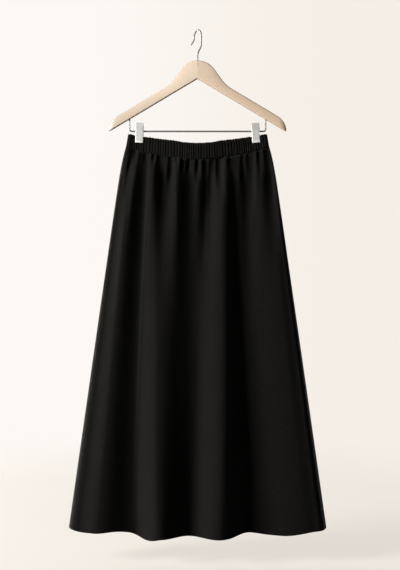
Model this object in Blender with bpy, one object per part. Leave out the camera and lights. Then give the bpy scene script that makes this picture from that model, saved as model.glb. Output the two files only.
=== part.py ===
"""A gathered maxi skirt, hung by two clips from a wooden hanger.

Metres, +Z up. The skirt's front faces -Y and +X is its right as seen from the front.
The origin is the top of the inside of the hook, where the hook rests on its rail.
"""

import math
from collections import namedtuple

import bmesh
import bpy
import numpy as np
from mathutils import Matrix, Vector

# ---------------------------------------------------------------- hanger sizes
GAP = 0.0003                    # left between pieces that touch
WIRE = 0.0020                   # radius of the hook's and the bar's wire
WIRE_BEVEL_RESOLUTION = 2

ARM_REACH = 0.2224              # from the middle to an arm's tip
ARM_SLOPE = math.tan(math.radians(30.0))
ARM_SWEEP = 0.115               # how fast an arm runs back, for each metre outwards
ARM_THICKNESS = 0.0130
ARM_EDGE = 0.0034               # radius of an arm's long edges
ARM_DEPTH = 0.0259              # height of an arm, measured straight down
ARM_TOP = -0.0735               # top of the hump, below the rail
ARM_CROTCH = -0.1190            # underside of the arms at the middle
ARM_TIP_BOTTOM = -0.2455
ARM_TIP_RADIUS = 0.0220
ARM_TIP_HEIGHT = 0.0020         # what is left of an arm's height at its very tip
ARM_TIP_THINS = 0.85            # and how much of its thickness is rounded away there
ARM_TIP_TURNS = (22.0, 42.0, 60.0, 75.0, 86.0)  # degrees round the tip, for its sections
ARM_STATION_STEP = 0.0085       # between sections round the hump
ARM_STRAIGHT_FROM = 0.1070
ARM_STRAIGHT_SECTIONS = 3
HUMP_RADIUS = 0.0520
HUMP_ANGLE = math.radians(54.0)  # where the hump's round top runs into its straight flank
HUMP_BLEND = 0.0100             # how softly the flank meets the arm

HOOK_TURN = math.radians(-59.0)  # the hook's plane, turned from +X about its stem
HOOK_RADIUS = 0.0175            # of the wire's centre line
HOOK_STRAIGHT = 0.0180
HOOK_SWAN_DROP = 0.0295         # height of the S-bend back to the stem
HOOK_TIP_RADIUS = 0.0090
HOOK_TIP_ANGLE = math.radians(60.0)
HOOK_TIP_LENGTH = 0.0130
HOOK_BURIED = 0.0160            # length of the stem inside the wood
HOOK_CROWN_STEPS = 14           # straight bits that make up the hook's round top
BEND_STEPS = 5                  # and each smaller bend of the wire
CUTTER_REACH = 3.0              # a bore's cutter is this many times the depth it cuts

BAR_X = 0.1700                  # the bar's legs, from the middle
BAR_Y = ARM_SWEEP * BAR_X       # the bar, the clips and the skirt hang in this plane
BAR_Z = -0.2470
BAR_BEND = 0.0060
BAR_BURIED = 0.0090             # length of a leg inside the wood

CLIP_X = 0.1450
CLIP_WIDTH = 0.0200
CLIP_TILT = math.radians(2.5)   # the jaws' lower ends lean outwards
CLIP_PLATE = 0.0012
CLIP_EDGE = 0.0004
JAW_BEVEL_ABOVE = 50.0          # degrees: the plate's flat bends stay unbevelled
BORE_SIDES = 16
EAR_PLACES = (0.0090, 0.0074)   # the front jaw's ears, then the back jaw's inside them
EAR_PLATE = 0.0010
EAR_HALF_HEIGHT = 0.0055
EAR_PAST_BAR = 0.0040
PAD_TOP = -0.0232
PAD_BOTTOM = -0.0288
PAD_THICKNESS = 0.0034
PAD_EDGE = 0.0008

# A jaw's side view: how far its inner face stands from the bar's plane, and its
# height from the bar's centre, from the tail that is squeezed to the end by the pad.
JAW_PROFILE = (
    # stands out, height
    (0.0088, 0.0205),
    (0.0076, 0.0120),
    (0.0054, 0.0030),
    (0.0046, -0.0070),
    (0.0042, PAD_TOP + GAP),
)
EAR_ROOT = 0.0060               # where the ears leave the jaw, from the bar's plane

# ----------------------------------------------------------------- skirt sizes
BAND_WALL = 0.0019              # cloth, elastic and cloth, between two ribs
PANEL_WALL = 0.0015

BAND_TOP_HALF = 0.1738          # half of the flat width at the band's top edge
SEAM_HALF = 0.1790              # and at the seam under the band
FLARE = 0.1423                  # how fast the sides run out, for each metre down
GATHER_DRAW = 0.0073            # how far the gathers draw the sides in at the seam
GATHER_DRAW_FADE = 0.0410

TOP_MIDDLE = -0.2755            # heights at the middle of the front, and how far
TOP_RISE = 0.0212               # each line climbs towards the side seams
TOP_POWER = 1.5
FRONT_DIP = 0.0052              # the front band sags this much more at its middle
FRONT_DIP_FLAT = 0.0140         # half of the level part of that sag
FRONT_DIP_HALF = 0.0600         # and half of its whole width
SEAM_MIDDLE = -0.3170
SEAM_RISE = 0.0320
SEAM_POWER = 1.7
HEM_MIDDLE = -1.2500
HEM_RISE = 0.0150
HEM_POWER = 2.3
SIDE_LENGTH = (SEAM_MIDDLE + SEAM_RISE) - (HEM_MIDDLE + HEM_RISE)

WAIST_OPEN = 0.0080             # half of the opening between front and back band
WAIST_ROUNDNESS = 1.5           # above 1, the opening closes softly towards the clips
PINCH_HALF = 0.0120             # half of the width that a clip presses flat
PINCH_FADE = 0.0080
BAND_SIDE_RADIUS = 0.0042       # round fold of the band at the side seams
HEM_SIDE_RADIUS = 0.0240        # and of the skirt at its hem
FOLD_EASE = 0.80                # below 1, the folds open sooner under the waist
WAIST_BLEND = 0.070             # part of the length where the waist turns into folds
FOLD_ROUNDNESS = 1.30           # 1 makes a fold's trough sharp, 2 as round as its crest

GATHERS = 20                    # across one panel
GATHER_HEIGHT = 0.0052
GATHER_HEIGHT_VARIES = 0.30
GATHER_PUFF = 0.7               # 1 is an even wave, less is a round puff in a sharp valley
GATHER_REACH = 0.22             # part of the length that a usual gather runs down
GATHER_REACH_VARIES = 0.45
GATHER_SEWN = 0.25              # what the seam leaves of a gather's height
GATHER_START = 0.012            # part of the length in which it puffs up

RIBS = 38                       # across one half of the waistband
RIB_HEIGHT = 0.0016
RIB_HEIGHT_VARIES = 0.25
RIB_PUFF = 0.6
RIB_SEWN = 0.35                 # what the band's two edges leave of a rib's height
RIB_START = 0.25                # part of the band's height in which it puffs up
RIB_PRESSED = 0.15              # what a clip leaves of a rib's height

PANEL_ROWS = 13
PANEL_ROW_POWER = 1.9           # rows lie closer under the gathers
BAND_ROWS = (0.0, 0.10, 0.50, 0.90, 1.0)
COLUMNS_PER_WAVE = 3
CAP_COLUMNS = 4                 # round each side fold
PHASE_STEPS = 4000              # across a panel, to find where its waves begin

# Gathers and ribs are spaced unevenly by two slow waves across the cloth.
Waver = namedtuple("Waver", "shift gather_speed rib_speed start")
WAVERS = (
    Waver(0.35, 5.1, 7.3, 0.6),
    Waver(0.20, 11.3, 16.1, 2.0),
)
# Speeds at which the waves' own sizes change, from one wave to the next.
GATHER_HEIGHT_SPEED = 1.7
GATHER_REACH_SPEED = 2.9
RIB_HEIGHT_SPEED = 2.3

# The standing folds of each panel from left to right. A place is -1 at the left
# side fold and 1 at the right one; a depth is how far the cloth stands out there.
Fold = namedtuple("Fold", "name waist_place hem_place waist_depth hem_depth")

FRONT_FOLDS = (
    Fold("left side", -1.000, -1.000, 0.0046, 0.0240),
    Fold("crest one", -0.900, -0.854, 0.0090, 0.0460),
    Fold("trough one", -0.750, -0.652, 0.0030, 0.0200),
    Fold("crest two", -0.606, -0.350, 0.0140, 0.0950),
    Fold("trough two", -0.138, -0.081, 0.0060, 0.0400),
    Fold("crest three", 0.245, 0.163, 0.0160, 0.0950),
    Fold("trough three", 0.457, 0.457, 0.0060, 0.0320),
    Fold("crest four", 0.814, 0.701, 0.0130, 0.0750),
    Fold("right side", 1.000, 1.000, 0.0046, 0.0240),
)

BACK_FOLDS = (
    Fold("left side", -1.000, -1.000, 0.0046, 0.0240),
    Fold("crest one", -0.840, -0.740, 0.0110, 0.0700),
    Fold("trough one", -0.630, -0.520, 0.0060, 0.0340),
    Fold("crest two", -0.400, -0.300, 0.0150, 0.0920),
    Fold("trough two", -0.160, -0.090, 0.0070, 0.0440),
    Fold("crest three", 0.100, 0.120, 0.0140, 0.0880),
    Fold("trough three", 0.360, 0.330, 0.0060, 0.0360),
    Fold("crest four", 0.600, 0.550, 0.0130, 0.0820),
    Fold("trough four", 0.780, 0.760, 0.0040, 0.0260),
    Fold("crest five", 0.900, 0.880, 0.0080, 0.0380),
    Fold("right side", 1.000, 1.000, 0.0046, 0.0240),
)

# Creases that run down from the gathers and fade out: places as above at the
# crease's two ends, where it starts and ends as a part of the length, half of its
# width at each end, and its depth, which is below 0 for a ridge.
Crease = namedtuple("Crease", "name top_place low_place starts ends top_width low_width depth")
CREASE_ONSET = 1.0 / 6.0        # part of a crease's length in which it deepens

FRONT_CREASES = (
    Crease("by the left side", -0.960, -0.900, 0.0, 0.26, 0.0090, 0.0120, 0.0040),
    Crease("edge of crest two", -0.650, -0.450, 0.0, 1.00, 0.0100, 0.0140, -0.0035),
    Crease("left of crest two", -0.520, -0.420, 0.0, 0.50, 0.0120, 0.0180, 0.0070),
    Crease("right of crest two", -0.340, -0.290, 0.0, 0.30, 0.0110, 0.0150, 0.0050),
    Crease("at the middle", 0.060, 0.045, 0.0, 0.38, 0.0120, 0.0170, 0.0065),
    Crease("left of crest four", 0.600, 0.540, 0.0, 0.28, 0.0110, 0.0140, 0.0060),
    Crease("by the right side", 0.900, 0.770, 0.0, 0.42, 0.0120, 0.0180, 0.0070),
)

BACK_CREASES = (
    Crease("by the left side", -0.930, -0.860, 0.0, 0.32, 0.0110, 0.0150, 0.0055),
    Crease("left of crest two", -0.520, -0.470, 0.0, 0.26, 0.0110, 0.0140, 0.0050),
    Crease("on crest two", -0.300, -0.200, 0.0, 0.46, 0.0120, 0.0180, 0.0070),
    Crease("at the middle", 0.020, 0.030, 0.0, 0.32, 0.0110, 0.0160, 0.0055),
    Crease("on crest four", 0.480, 0.440, 0.0, 0.42, 0.0120, 0.0170, 0.0065),
    Crease("by the right side", 0.860, 0.800, 0.0, 0.28, 0.0110, 0.0140, 0.0050),
)

# -------------------------------------------------------------------- finishes
Finish = namedtuple("Finish", "colour roughness metallic")
BLACK_CREPE = Finish((0.012, 0.012, 0.013), 0.85, 0.0)
PALE_BEECH = Finish((0.72, 0.55, 0.38), 0.50, 0.0)
CHROME = Finish((0.55, 0.54, 0.53), 0.18, 1.0)
SATIN_STEEL = Finish((0.62, 0.61, 0.60), 0.35, 1.0)
PALE_RUBBER = Finish((0.82, 0.82, 0.80), 0.60, 0.0)

# Edges steeper than this, in degrees, are shaded sharp.
WOOD_SHARP = 40.0
CLOTH_SHARP = 75.0
CLIP_SHARP = 30.0


# ----------------------------------------------------------------- small tools
def mix(start, end, part):
    """The value that lies this part of the way from start to end."""
    return start + (end - start) * part


def smooth(part):
    """0 to 1 with a level start and end, and held outside them."""
    held = np.clip(part, 0.0, 1.0)
    return held * held * (3.0 - 2.0 * held)


def remove_scene_objects():
    for item in list(bpy.data.objects):
        bpy.data.objects.remove(item, do_unlink=True)


def give_finish(item, finish):
    """A material of the piece's own, with one Principled shader."""
    material = bpy.data.materials.new(item.name)
    material.use_nodes = True
    shader = material.node_tree.nodes["Principled BSDF"]
    shader.inputs["Base Color"].default_value = (*finish.colour, 1.0)
    shader.inputs["Roughness"].default_value = finish.roughness
    shader.inputs["Metallic"].default_value = finish.metallic
    material.diffuse_color = (*finish.colour, 1.0)
    item.data.materials.append(material)


def add_object(name, data, finish):
    item = bpy.data.objects.new(name, data)
    bpy.context.scene.collection.objects.link(item)
    give_finish(item, finish)
    return item


def object_from_bmesh(name, shape, finish, sharp_angle):
    """Closes the mesh work on one piece: outward faces and smooth shading."""
    bmesh.ops.recalc_face_normals(shape, faces=shape.faces)
    mesh = bpy.data.meshes.new(name)
    shape.to_mesh(mesh)
    shape.free()
    mesh.shade_smooth()
    mesh.set_sharp_from_angle(angle=math.radians(sharp_angle))
    return add_object(name, mesh, finish)


def add_cutter(name, radius, depth, centre, axis="Z"):
    """A round cutter that stays in the scene as a wire guide."""
    mesh = bpy.data.meshes.new(name)
    shape = bmesh.new()
    bmesh.ops.create_cone(
        shape, cap_ends=True, segments=BORE_SIDES, radius1=radius, radius2=radius, depth=depth)
    if axis == "X":
        bmesh.ops.rotate(shape, verts=shape.verts, matrix=Matrix.Rotation(math.pi / 2, 3, "Y"))
    shape.to_mesh(mesh)
    shape.free()
    cutter = bpy.data.objects.new(name, mesh)
    bpy.context.scene.collection.objects.link(cutter)
    cutter.location = centre
    cutter.hide_render = True
    cutter.display_type = "WIRE"
    return cutter


def cut(item, cutter):
    modifier = item.modifiers.new("cut " + cutter.name, "BOOLEAN")
    modifier.operation = "DIFFERENCE"
    modifier.solver = "EXACT"
    modifier.object = cutter


# ---------------------------------------------------------- the skirt's levels
def band_half(part):
    """Half of the band's width, part of the way from its top edge to the seam."""
    return mix(BAND_TOP_HALF, SEAM_HALF, part)


def panel_half(part):
    """Half of the skirt's width, part of the way from the seam to the hem."""
    drop = part * SIDE_LENGTH
    draw = GATHER_DRAW * (1.0 - np.exp(-drop / GATHER_DRAW_FADE))
    return SEAM_HALF + FLARE * drop + draw


def seam_height(across):
    return SEAM_MIDDLE + SEAM_RISE * np.abs(across) ** SEAM_POWER


def top_height(across, dip):
    """The band's top edge; dip is how far its middle sags below the usual line."""
    past_flat = np.abs(across) * BAND_TOP_HALF - FRONT_DIP_FLAT
    sag = dip * (1.0 - smooth(past_flat / (FRONT_DIP_HALF - FRONT_DIP_FLAT)))
    return TOP_MIDDLE + TOP_RISE * np.abs(across) ** TOP_POWER - sag


def hem_height(across):
    return HEM_MIDDLE + HEM_RISE * np.abs(across) ** HEM_POWER


def side_radius(part):
    """Radius of the side fold, part of the way from the seam to the hem."""
    return mix(BAND_SIDE_RADIUS, HEM_SIDE_RADIUS, part ** FOLD_EASE)


# ----------------------------------------------------------- the skirt's depth
def waist_depth(x, half):
    """How far the waist stands out: open between the clips and pressed flat in them."""
    away = np.abs(x)
    inner_edge = CLIP_X - PINCH_HALF
    outer_edge = CLIP_X + PINCH_HALF
    open_part = np.clip(1.0 - (away / inner_edge) ** 2, 0.0, 1.0) ** WAIST_ROUNDNESS
    side_part = smooth((away - outer_edge) / (half - BAND_SIDE_RADIUS - outer_edge))
    return BAND_WALL + WAIST_OPEN * open_part + (BAND_SIDE_RADIUS - BAND_WALL) * side_part


def flank(part, rising):
    """0 to 1 across a fold's flank: quick by its trough and level by its crest."""
    held = np.clip(part, 0.0, 1.0)
    if rising:
        return np.sin(held * math.pi / 2.0) ** FOLD_ROUNDNESS
    return 1.0 - np.sin((1.0 - held) * math.pi / 2.0) ** FOLD_ROUNDNESS


def fold_depth(folds, place, part):
    """Runs from each standing fold to the next, across the panel."""
    opened = part ** FOLD_EASE
    places = [mix(fold.waist_place, fold.hem_place, part) for fold in folds]
    depths = [mix(fold.waist_depth, fold.hem_depth, opened) for fold in folds]
    last = len(folds) - 2
    depth = depths[0]
    for k in range(last + 1):
        way = (place - places[k]) / (places[k + 1] - places[k])
        climb = depths[k + 1] - depths[k]
        shaped = smooth(way) if k in (0, last) else flank(way, climb > 0.0)
        depth = depth + climb * shaped
    return depth


def crease_depth(creases, x, reach, part):
    """How far the creases sink into the panel."""
    depth = 0.0
    for crease in creases:
        way = np.clip((part - crease.starts) / (crease.ends - crease.starts), 0.0, 1.0)
        middle = mix(crease.top_place, crease.low_place, way) * reach
        width = mix(crease.top_width, crease.low_width, way)
        across = 1.0 - smooth(np.abs(x - middle) / width)
        along = smooth(way / CREASE_ONSET) * (1.0 - smooth(way))
        depth = depth + crease.depth * across * along
    return depth


def uneven(place, speeds):
    """A slow waver that spaces gathers and ribs unevenly, and is 0 at both sides."""
    def waver(at):
        return sum(
            wave.shift * np.sin(speed * at + wave.start)
            for wave, speed in zip(WAVERS, speeds))
    return waver(place) - mix(waver(-1.0), waver(1.0), (place + 1.0) / 2.0)


def gather_phase(place):
    """Which gather a place lies in; a whole number is the valley between two."""
    speeds = [wave.gather_speed for wave in WAVERS]
    return GATHERS * (place + 1.0) / 2.0 + uneven(place, speeds)


def rib_phase(place):
    speeds = [wave.rib_speed for wave in WAVERS]
    return RIBS * (place + 1.0) / 2.0 + uneven(place, speeds)


def wave_columns(phase, count):
    """Places across the cloth where the mesh has a column, some for each wave."""
    fine = np.linspace(-1.0, 1.0, PHASE_STEPS + 1)
    wanted = np.arange(count * COLUMNS_PER_WAVE + 1) / COLUMNS_PER_WAVE
    return np.interp(wanted, phase(fine), fine)


def gather_rise(place, part):
    """The small gathers under the band: each stands out and fades at its own length."""
    phase = gather_phase(place)
    puff = np.abs(np.sin(math.pi * phase)) ** GATHER_PUFF
    height = GATHER_HEIGHT * (
        1.0 + GATHER_HEIGHT_VARIES * np.sin(GATHER_HEIGHT_SPEED * phase + 1.0))
    reach = GATHER_REACH * (1.0 + GATHER_REACH_VARIES * np.sin(GATHER_REACH_SPEED * phase))
    grown = mix(GATHER_SEWN, 1.0, smooth(part / GATHER_START))
    return height * puff * grown * (1.0 - smooth(part / reach))


def rib_rise(place, x, part):
    """The ruched ribs of the band, lower at its two stitched edges and in the clips."""
    phase = rib_phase(place)
    puff = np.abs(np.sin(math.pi * phase)) ** RIB_PUFF
    height = RIB_HEIGHT * (1.0 + RIB_HEIGHT_VARIES * np.sin(RIB_HEIGHT_SPEED * phase))
    along = mix(RIB_SEWN, 1.0, smooth(np.minimum(part, 1.0 - part) / RIB_START))
    away = np.abs(np.abs(x) - CLIP_X)
    pressed = mix(RIB_PRESSED, 1.0, smooth((away - PINCH_HALF) / PINCH_FADE))
    return height * puff * along * pressed


# ------------------------------------------------------------- the cloth walls
def with_caps(places):
    """Adds the columns round each side fold: a place and a turn for every column."""
    turns = np.linspace(0.0, math.pi / 2.0, CAP_COLUMNS + 1)[1:]
    left = [(-1.0, -turn) for turn in reversed(turns)]
    middle = [(place, 0.0) for place in places]
    right = [(1.0, turn) for turn in turns]
    columns = np.array(left + middle + right)
    return columns[:, 0], columns[:, 1]


def outward(points):
    """Level unit normals of a grid of points, square to the side seams at its ends."""
    across = np.gradient(points, axis=1)
    down = np.gradient(points, axis=0)
    normal = np.cross(across, down)
    normal[..., 2] = 0.0
    normal[:, 0] = (-1.0, 0.0, 0.0)
    normal[:, -1] = (1.0, 0.0, 0.0)
    return normal / np.linalg.norm(normal, axis=2, keepdims=True)


def facing_out(points, normals, facing):
    """Turns the normals so that the middle ones point away from the skirt's inside."""
    middle = points.shape[1] // 2
    if normals[0, middle, 1] * facing < 0.0:
        normals[:, 1:-1] = -normals[:, 1:-1]
    return normals


def lay_level(points, halves, height_of_row):
    """Sets the height of every point from its own place across."""
    for row in range(points.shape[0]):
        points[row, :, 2] = height_of_row(row, points[row, :, 0] / halves[row])
    return points


def make_wall(name, outer, inner, finish):
    """One closed wall between two skins whose rows run from the top edge down."""
    shape = bmesh.new()
    skins = []
    for points in (outer, inner):
        skins.append([[shape.verts.new(Vector(point)) for point in row] for row in points])
    for skin in skins:
        for upper, lower in zip(skin, skin[1:]):
            for k in range(len(upper) - 1):
                shape.faces.new((upper[k], upper[k + 1], lower[k + 1], lower[k]))
    out, into = skins
    for edge in (0, -1):
        for k in range(len(out[edge]) - 1):
            rim = (out[edge][k], out[edge][k + 1], into[edge][k + 1], into[edge][k])
            shape.faces.new(rim)
    for side in (0, -1):
        outer_side = [row[side] for row in out]
        inner_side = [row[side] for row in reversed(into)]
        shape.faces.new(outer_side + inner_side)
    return object_from_bmesh(name, shape, finish, CLOTH_SHARP)


def make_panel(name, facing, folds, creases):
    """A gathered panel; facing is -1 for the front and 1 for the back."""
    place, turn = with_caps(wave_columns(gather_phase, GATHERS))
    parts = (np.arange(PANEL_ROWS + 1) / PANEL_ROWS) ** PANEL_ROW_POWER
    halves = panel_half(parts)

    def height_of_row(row, across):
        height = mix(seam_height(across), hem_height(across), parts[row])
        return height - (GAP / 2.0 if row == 0 else 0.0)

    outer = np.zeros((len(parts), len(place), 3))
    for row, part in enumerate(parts):
        radius = side_radius(part)
        reach = halves[row] - radius
        x = place * reach + radius * np.sin(turn)
        folded = fold_depth(folds, place, part) - crease_depth(creases, x, reach, part)
        depth = mix(waist_depth(x, halves[row]), folded, smooth(part / WAIST_BLEND))
        depth = (depth + gather_rise(place, part)) * np.cos(turn)
        outer[row, :, 0] = x
        outer[row, :, 1] = BAR_Y + facing * (GAP / 2.0 + depth)
    lay_level(outer, halves, height_of_row)
    normals = facing_out(outer, outward(outer), facing)
    inner = lay_level(outer - PANEL_WALL * normals, halves, height_of_row)
    return make_wall(name, outer, inner, BLACK_CREPE)


def make_band(name, facing, dip):
    """Half of the waistband: ribs in its outer skin over a plain inner skin."""
    place, turn = with_caps(wave_columns(rib_phase, RIBS))
    parts = np.array(BAND_ROWS)
    halves = band_half(parts)

    def height_of_row(row, across):
        height = mix(top_height(across, dip), seam_height(across), parts[row])
        return height + (GAP / 2.0 if row == len(parts) - 1 else 0.0)

    between_ribs = np.zeros((len(parts), len(place), 3))
    rise = np.zeros((len(parts), len(place), 1))
    for row, part in enumerate(parts):
        reach = halves[row] - BAND_SIDE_RADIUS
        x = place * reach + BAND_SIDE_RADIUS * np.sin(turn)
        depth = waist_depth(x, halves[row]) * np.cos(turn)
        between_ribs[row, :, 0] = x
        between_ribs[row, :, 1] = BAR_Y + facing * (GAP / 2.0 + depth)
        rise[row, :, 0] = rib_rise(place, x, part) * np.cos(turn)
    lay_level(between_ribs, halves, height_of_row)
    normals = facing_out(between_ribs, outward(between_ribs), facing)
    outer = lay_level(between_ribs + rise * normals, halves, height_of_row)
    inner = lay_level(between_ribs - BAND_WALL * normals, halves, height_of_row)
    return make_wall(name, outer, inner[[0, -1]], BLACK_CREPE)


# ------------------------------------------------------------------ the hanger
def soft_max(a, b, blend):
    """The higher of two lines, with the corner between them filled."""
    way = min(1.0, max(0.0, (1.0 + (a - b) / blend) / 2.0))
    return mix(b, a, way) + blend * way * (1.0 - way)


def hump_height(x):
    """Top line of the hump: a round top, then a straight flank."""
    flank_x = HUMP_RADIUS * math.sin(HUMP_ANGLE)
    if x < flank_x:
        return ARM_TOP - HUMP_RADIUS + math.sqrt(HUMP_RADIUS ** 2 - x ** 2)
    flank_top = ARM_TOP - HUMP_RADIUS * (1.0 - math.cos(HUMP_ANGLE))
    return flank_top - math.tan(HUMP_ANGLE) * (x - flank_x)


def arm_underside(x):
    return max(ARM_CROTCH - ARM_SLOPE * x, ARM_TIP_BOTTOM)


def arm_top(x):
    """Top line of an arm: the hump, the straight arm and the rounded tip."""
    straight = ARM_CROTCH + ARM_DEPTH - ARM_SLOPE * x
    past = max(0.0, x - (ARM_REACH - ARM_TIP_RADIUS))
    rounding = ARM_TIP_RADIUS - math.sqrt(ARM_TIP_RADIUS ** 2 - past ** 2)
    tip_floor = arm_underside(x) + ARM_TIP_HEIGHT
    return max(soft_max(hump_height(x), straight, HUMP_BLEND) - rounding, tip_floor)


def rounded_section(x, side, low, high, half_thickness):
    """Ring of an arm's section at one place along it, square to X."""
    half_height = (high - low) / 2.0
    radius = min(ARM_EDGE, 0.90 * half_height, 0.90 * half_thickness)
    centre_y = ARM_SWEEP * x
    corners = (
        (1, high - radius, 0.0),
        (-1, high - radius, 90.0),
        (-1, low + radius, 180.0),
        (1, low + radius, 270.0),
    )
    ring = []
    for toward_back, z, first_angle in corners:
        for step in (0.0, 45.0, 90.0):
            angle = math.radians(first_angle + step)
            y = centre_y + toward_back * (half_thickness - radius) + radius * math.cos(angle)
            ring.append(Vector((side * x, y, z + radius * math.sin(angle))))
    return ring


def arm_places():
    """Stations along an arm, closer together round the hump and the tip."""
    places = [GAP / 2.0]
    while places[-1] < ARM_STRAIGHT_FROM:
        places.append(places[-1] + ARM_STATION_STEP)
    straight_start = places[-1]
    straight_end = ARM_REACH - ARM_TIP_RADIUS
    for number in range(1, ARM_STRAIGHT_SECTIONS + 1):
        places.append(mix(straight_start, straight_end, number / ARM_STRAIGHT_SECTIONS))
    for degrees in ARM_TIP_TURNS:
        places.append(straight_end + ARM_TIP_RADIUS * math.sin(math.radians(degrees)))
    return places


def make_arm(name, side, hook_bore, leg_bore):
    """One wooden arm, lofted from its mitred end to its tip."""
    shape = bmesh.new()
    rings = []
    for x in arm_places():
        tip_part = max(0.0, (x - (ARM_REACH - ARM_TIP_RADIUS)) / ARM_TIP_RADIUS)
        half_thickness = ARM_THICKNESS / 2.0 * math.sqrt(1.0 - ARM_TIP_THINS * tip_part ** 3)
        ring = rounded_section(x, side, arm_underside(x), arm_top(x), half_thickness)
        rings.append([shape.verts.new(point) for point in ring])
    for here, there in zip(rings, rings[1:]):
        for k in range(len(here)):
            follow = (k + 1) % len(here)
            shape.faces.new((here[k], here[follow], there[follow], there[k]))
    shape.faces.new(rings[0])
    shape.faces.new(rings[-1])
    arm = object_from_bmesh(name, shape, PALE_BEECH, WOOD_SHARP)
    cut(arm, hook_bore)
    cut(arm, leg_bore)
    return arm


def make_wire(name, points, finish):
    """A round wire along the points, with closed ends."""
    curve = bpy.data.curves.new(name, "CURVE")
    curve.dimensions = "3D"
    curve.bevel_depth = WIRE
    curve.bevel_resolution = WIRE_BEVEL_RESOLUTION
    curve.use_fill_caps = True
    spline = curve.splines.new("POLY")
    spline.points.add(len(points) - 1)
    for knot, point in zip(spline.points, points):
        knot.co = (*point, 1.0)
    return add_object(name, curve, finish)


def arc(centre, radius, start, end, steps):
    """Points (across, up) along an arc, both ends included; angles in radians."""
    points = []
    for k in range(steps + 1):
        angle = mix(start, end, k / steps)
        points.append((centre[0] + radius * math.cos(angle), centre[1] + radius * math.sin(angle)))
    return points


def hook_line():
    """The hook's centre line in its own plane, from its free tip to the stem's end."""
    crown = (0.0, WIRE - HOOK_RADIUS)
    back_bend = (-HOOK_RADIUS - HOOK_TIP_RADIUS, crown[1])
    outwards = arc(back_bend, HOOK_TIP_RADIUS, -HOOK_TIP_ANGLE, 0.0, BEND_STEPS)
    tip_x = outwards[0][0] - HOOK_TIP_LENGTH * math.sin(HOOK_TIP_ANGLE)
    tip_z = outwards[0][1] - HOOK_TIP_LENGTH * math.cos(HOOK_TIP_ANGLE)
    over = arc(crown, HOOK_RADIUS, math.pi, 0.0, HOOK_CROWN_STEPS)

    swan_angle = 2.0 * math.atan(HOOK_RADIUS / HOOK_SWAN_DROP)
    swan_radius = HOOK_SWAN_DROP / (2.0 * math.sin(swan_angle))
    swan_top = crown[1] - HOOK_STRAIGHT
    swan_low = swan_top - HOOK_SWAN_DROP
    upper_bend = (HOOK_RADIUS - swan_radius, swan_top)
    lower_bend = (swan_radius, swan_low)
    upper = arc(upper_bend, swan_radius, 0.0, -swan_angle, BEND_STEPS)
    lower = arc(lower_bend, swan_radius, math.pi - swan_angle, math.pi, BEND_STEPS)
    stem_end = (0.0, ARM_TOP - HOOK_BURIED)
    return [(tip_x, tip_z)] + outwards[:-1] + over + upper + lower[1:] + [stem_end]


def make_hook():
    turn = Matrix.Rotation(HOOK_TURN, 3, "Z")
    points = [turn @ Vector((across, 0.0, up)) for across, up in hook_line()]
    return make_wire("hanger_hook", points, CHROME)


def make_bar():
    """The bar: a wire with a leg bent up into each arm."""
    leg_top = arm_underside(BAR_X) + BAR_BURIED
    bend_x = BAR_X - BAR_BEND
    bend_z = BAR_Z + BAR_BEND
    down = 1.5 * math.pi
    left = arc((-bend_x, bend_z), BAR_BEND, math.pi, down, BEND_STEPS)
    right = arc((bend_x, bend_z), BAR_BEND, down, 2.0 * math.pi, BEND_STEPS)
    line = [(-BAR_X, leg_top)] + left + right + [(BAR_X, leg_top)]
    points = [Vector((across, BAR_Y, up)) for across, up in line]
    return make_wire("trouser_bar", points, CHROME)


# ------------------------------------------------------------------- the clips
def block(shape, low, high):
    """Adds a box between two corners to a bmesh."""
    size = Vector(high) - Vector(low)
    middle = (Vector(high) + Vector(low)) / 2.0
    made = bmesh.ops.create_cube(shape, size=1.0)
    bmesh.ops.scale(shape, vec=size, verts=made["verts"])
    bmesh.ops.translate(shape, vec=middle, verts=made["verts"])


def on_clip(item, side):
    """Places a clip's piece at its side of the bar, leaning outwards."""
    item.location = (side * CLIP_X, BAR_Y, BAR_Z)
    item.rotation_euler = (0.0, -side * CLIP_TILT, 0.0)


def ear_object(name, facing, place):
    """One ear of a jaw, as a helper that is joined to the jaw's plate."""
    shape = bmesh.new()
    ends = sorted((facing * EAR_ROOT, -facing * EAR_PAST_BAR))
    low = (place - EAR_PLATE / 2.0, ends[0], -EAR_HALF_HEIGHT)
    high = (place + EAR_PLATE / 2.0, ends[1], EAR_HALF_HEIGHT)
    block(shape, low, high)
    mesh = bpy.data.meshes.new(name)
    shape.to_mesh(mesh)
    shape.free()
    ear = bpy.data.objects.new(name, mesh)
    bpy.context.scene.collection.objects.link(ear)
    ear.hide_render = True
    ear.display_type = "WIRE"
    return ear


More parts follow.
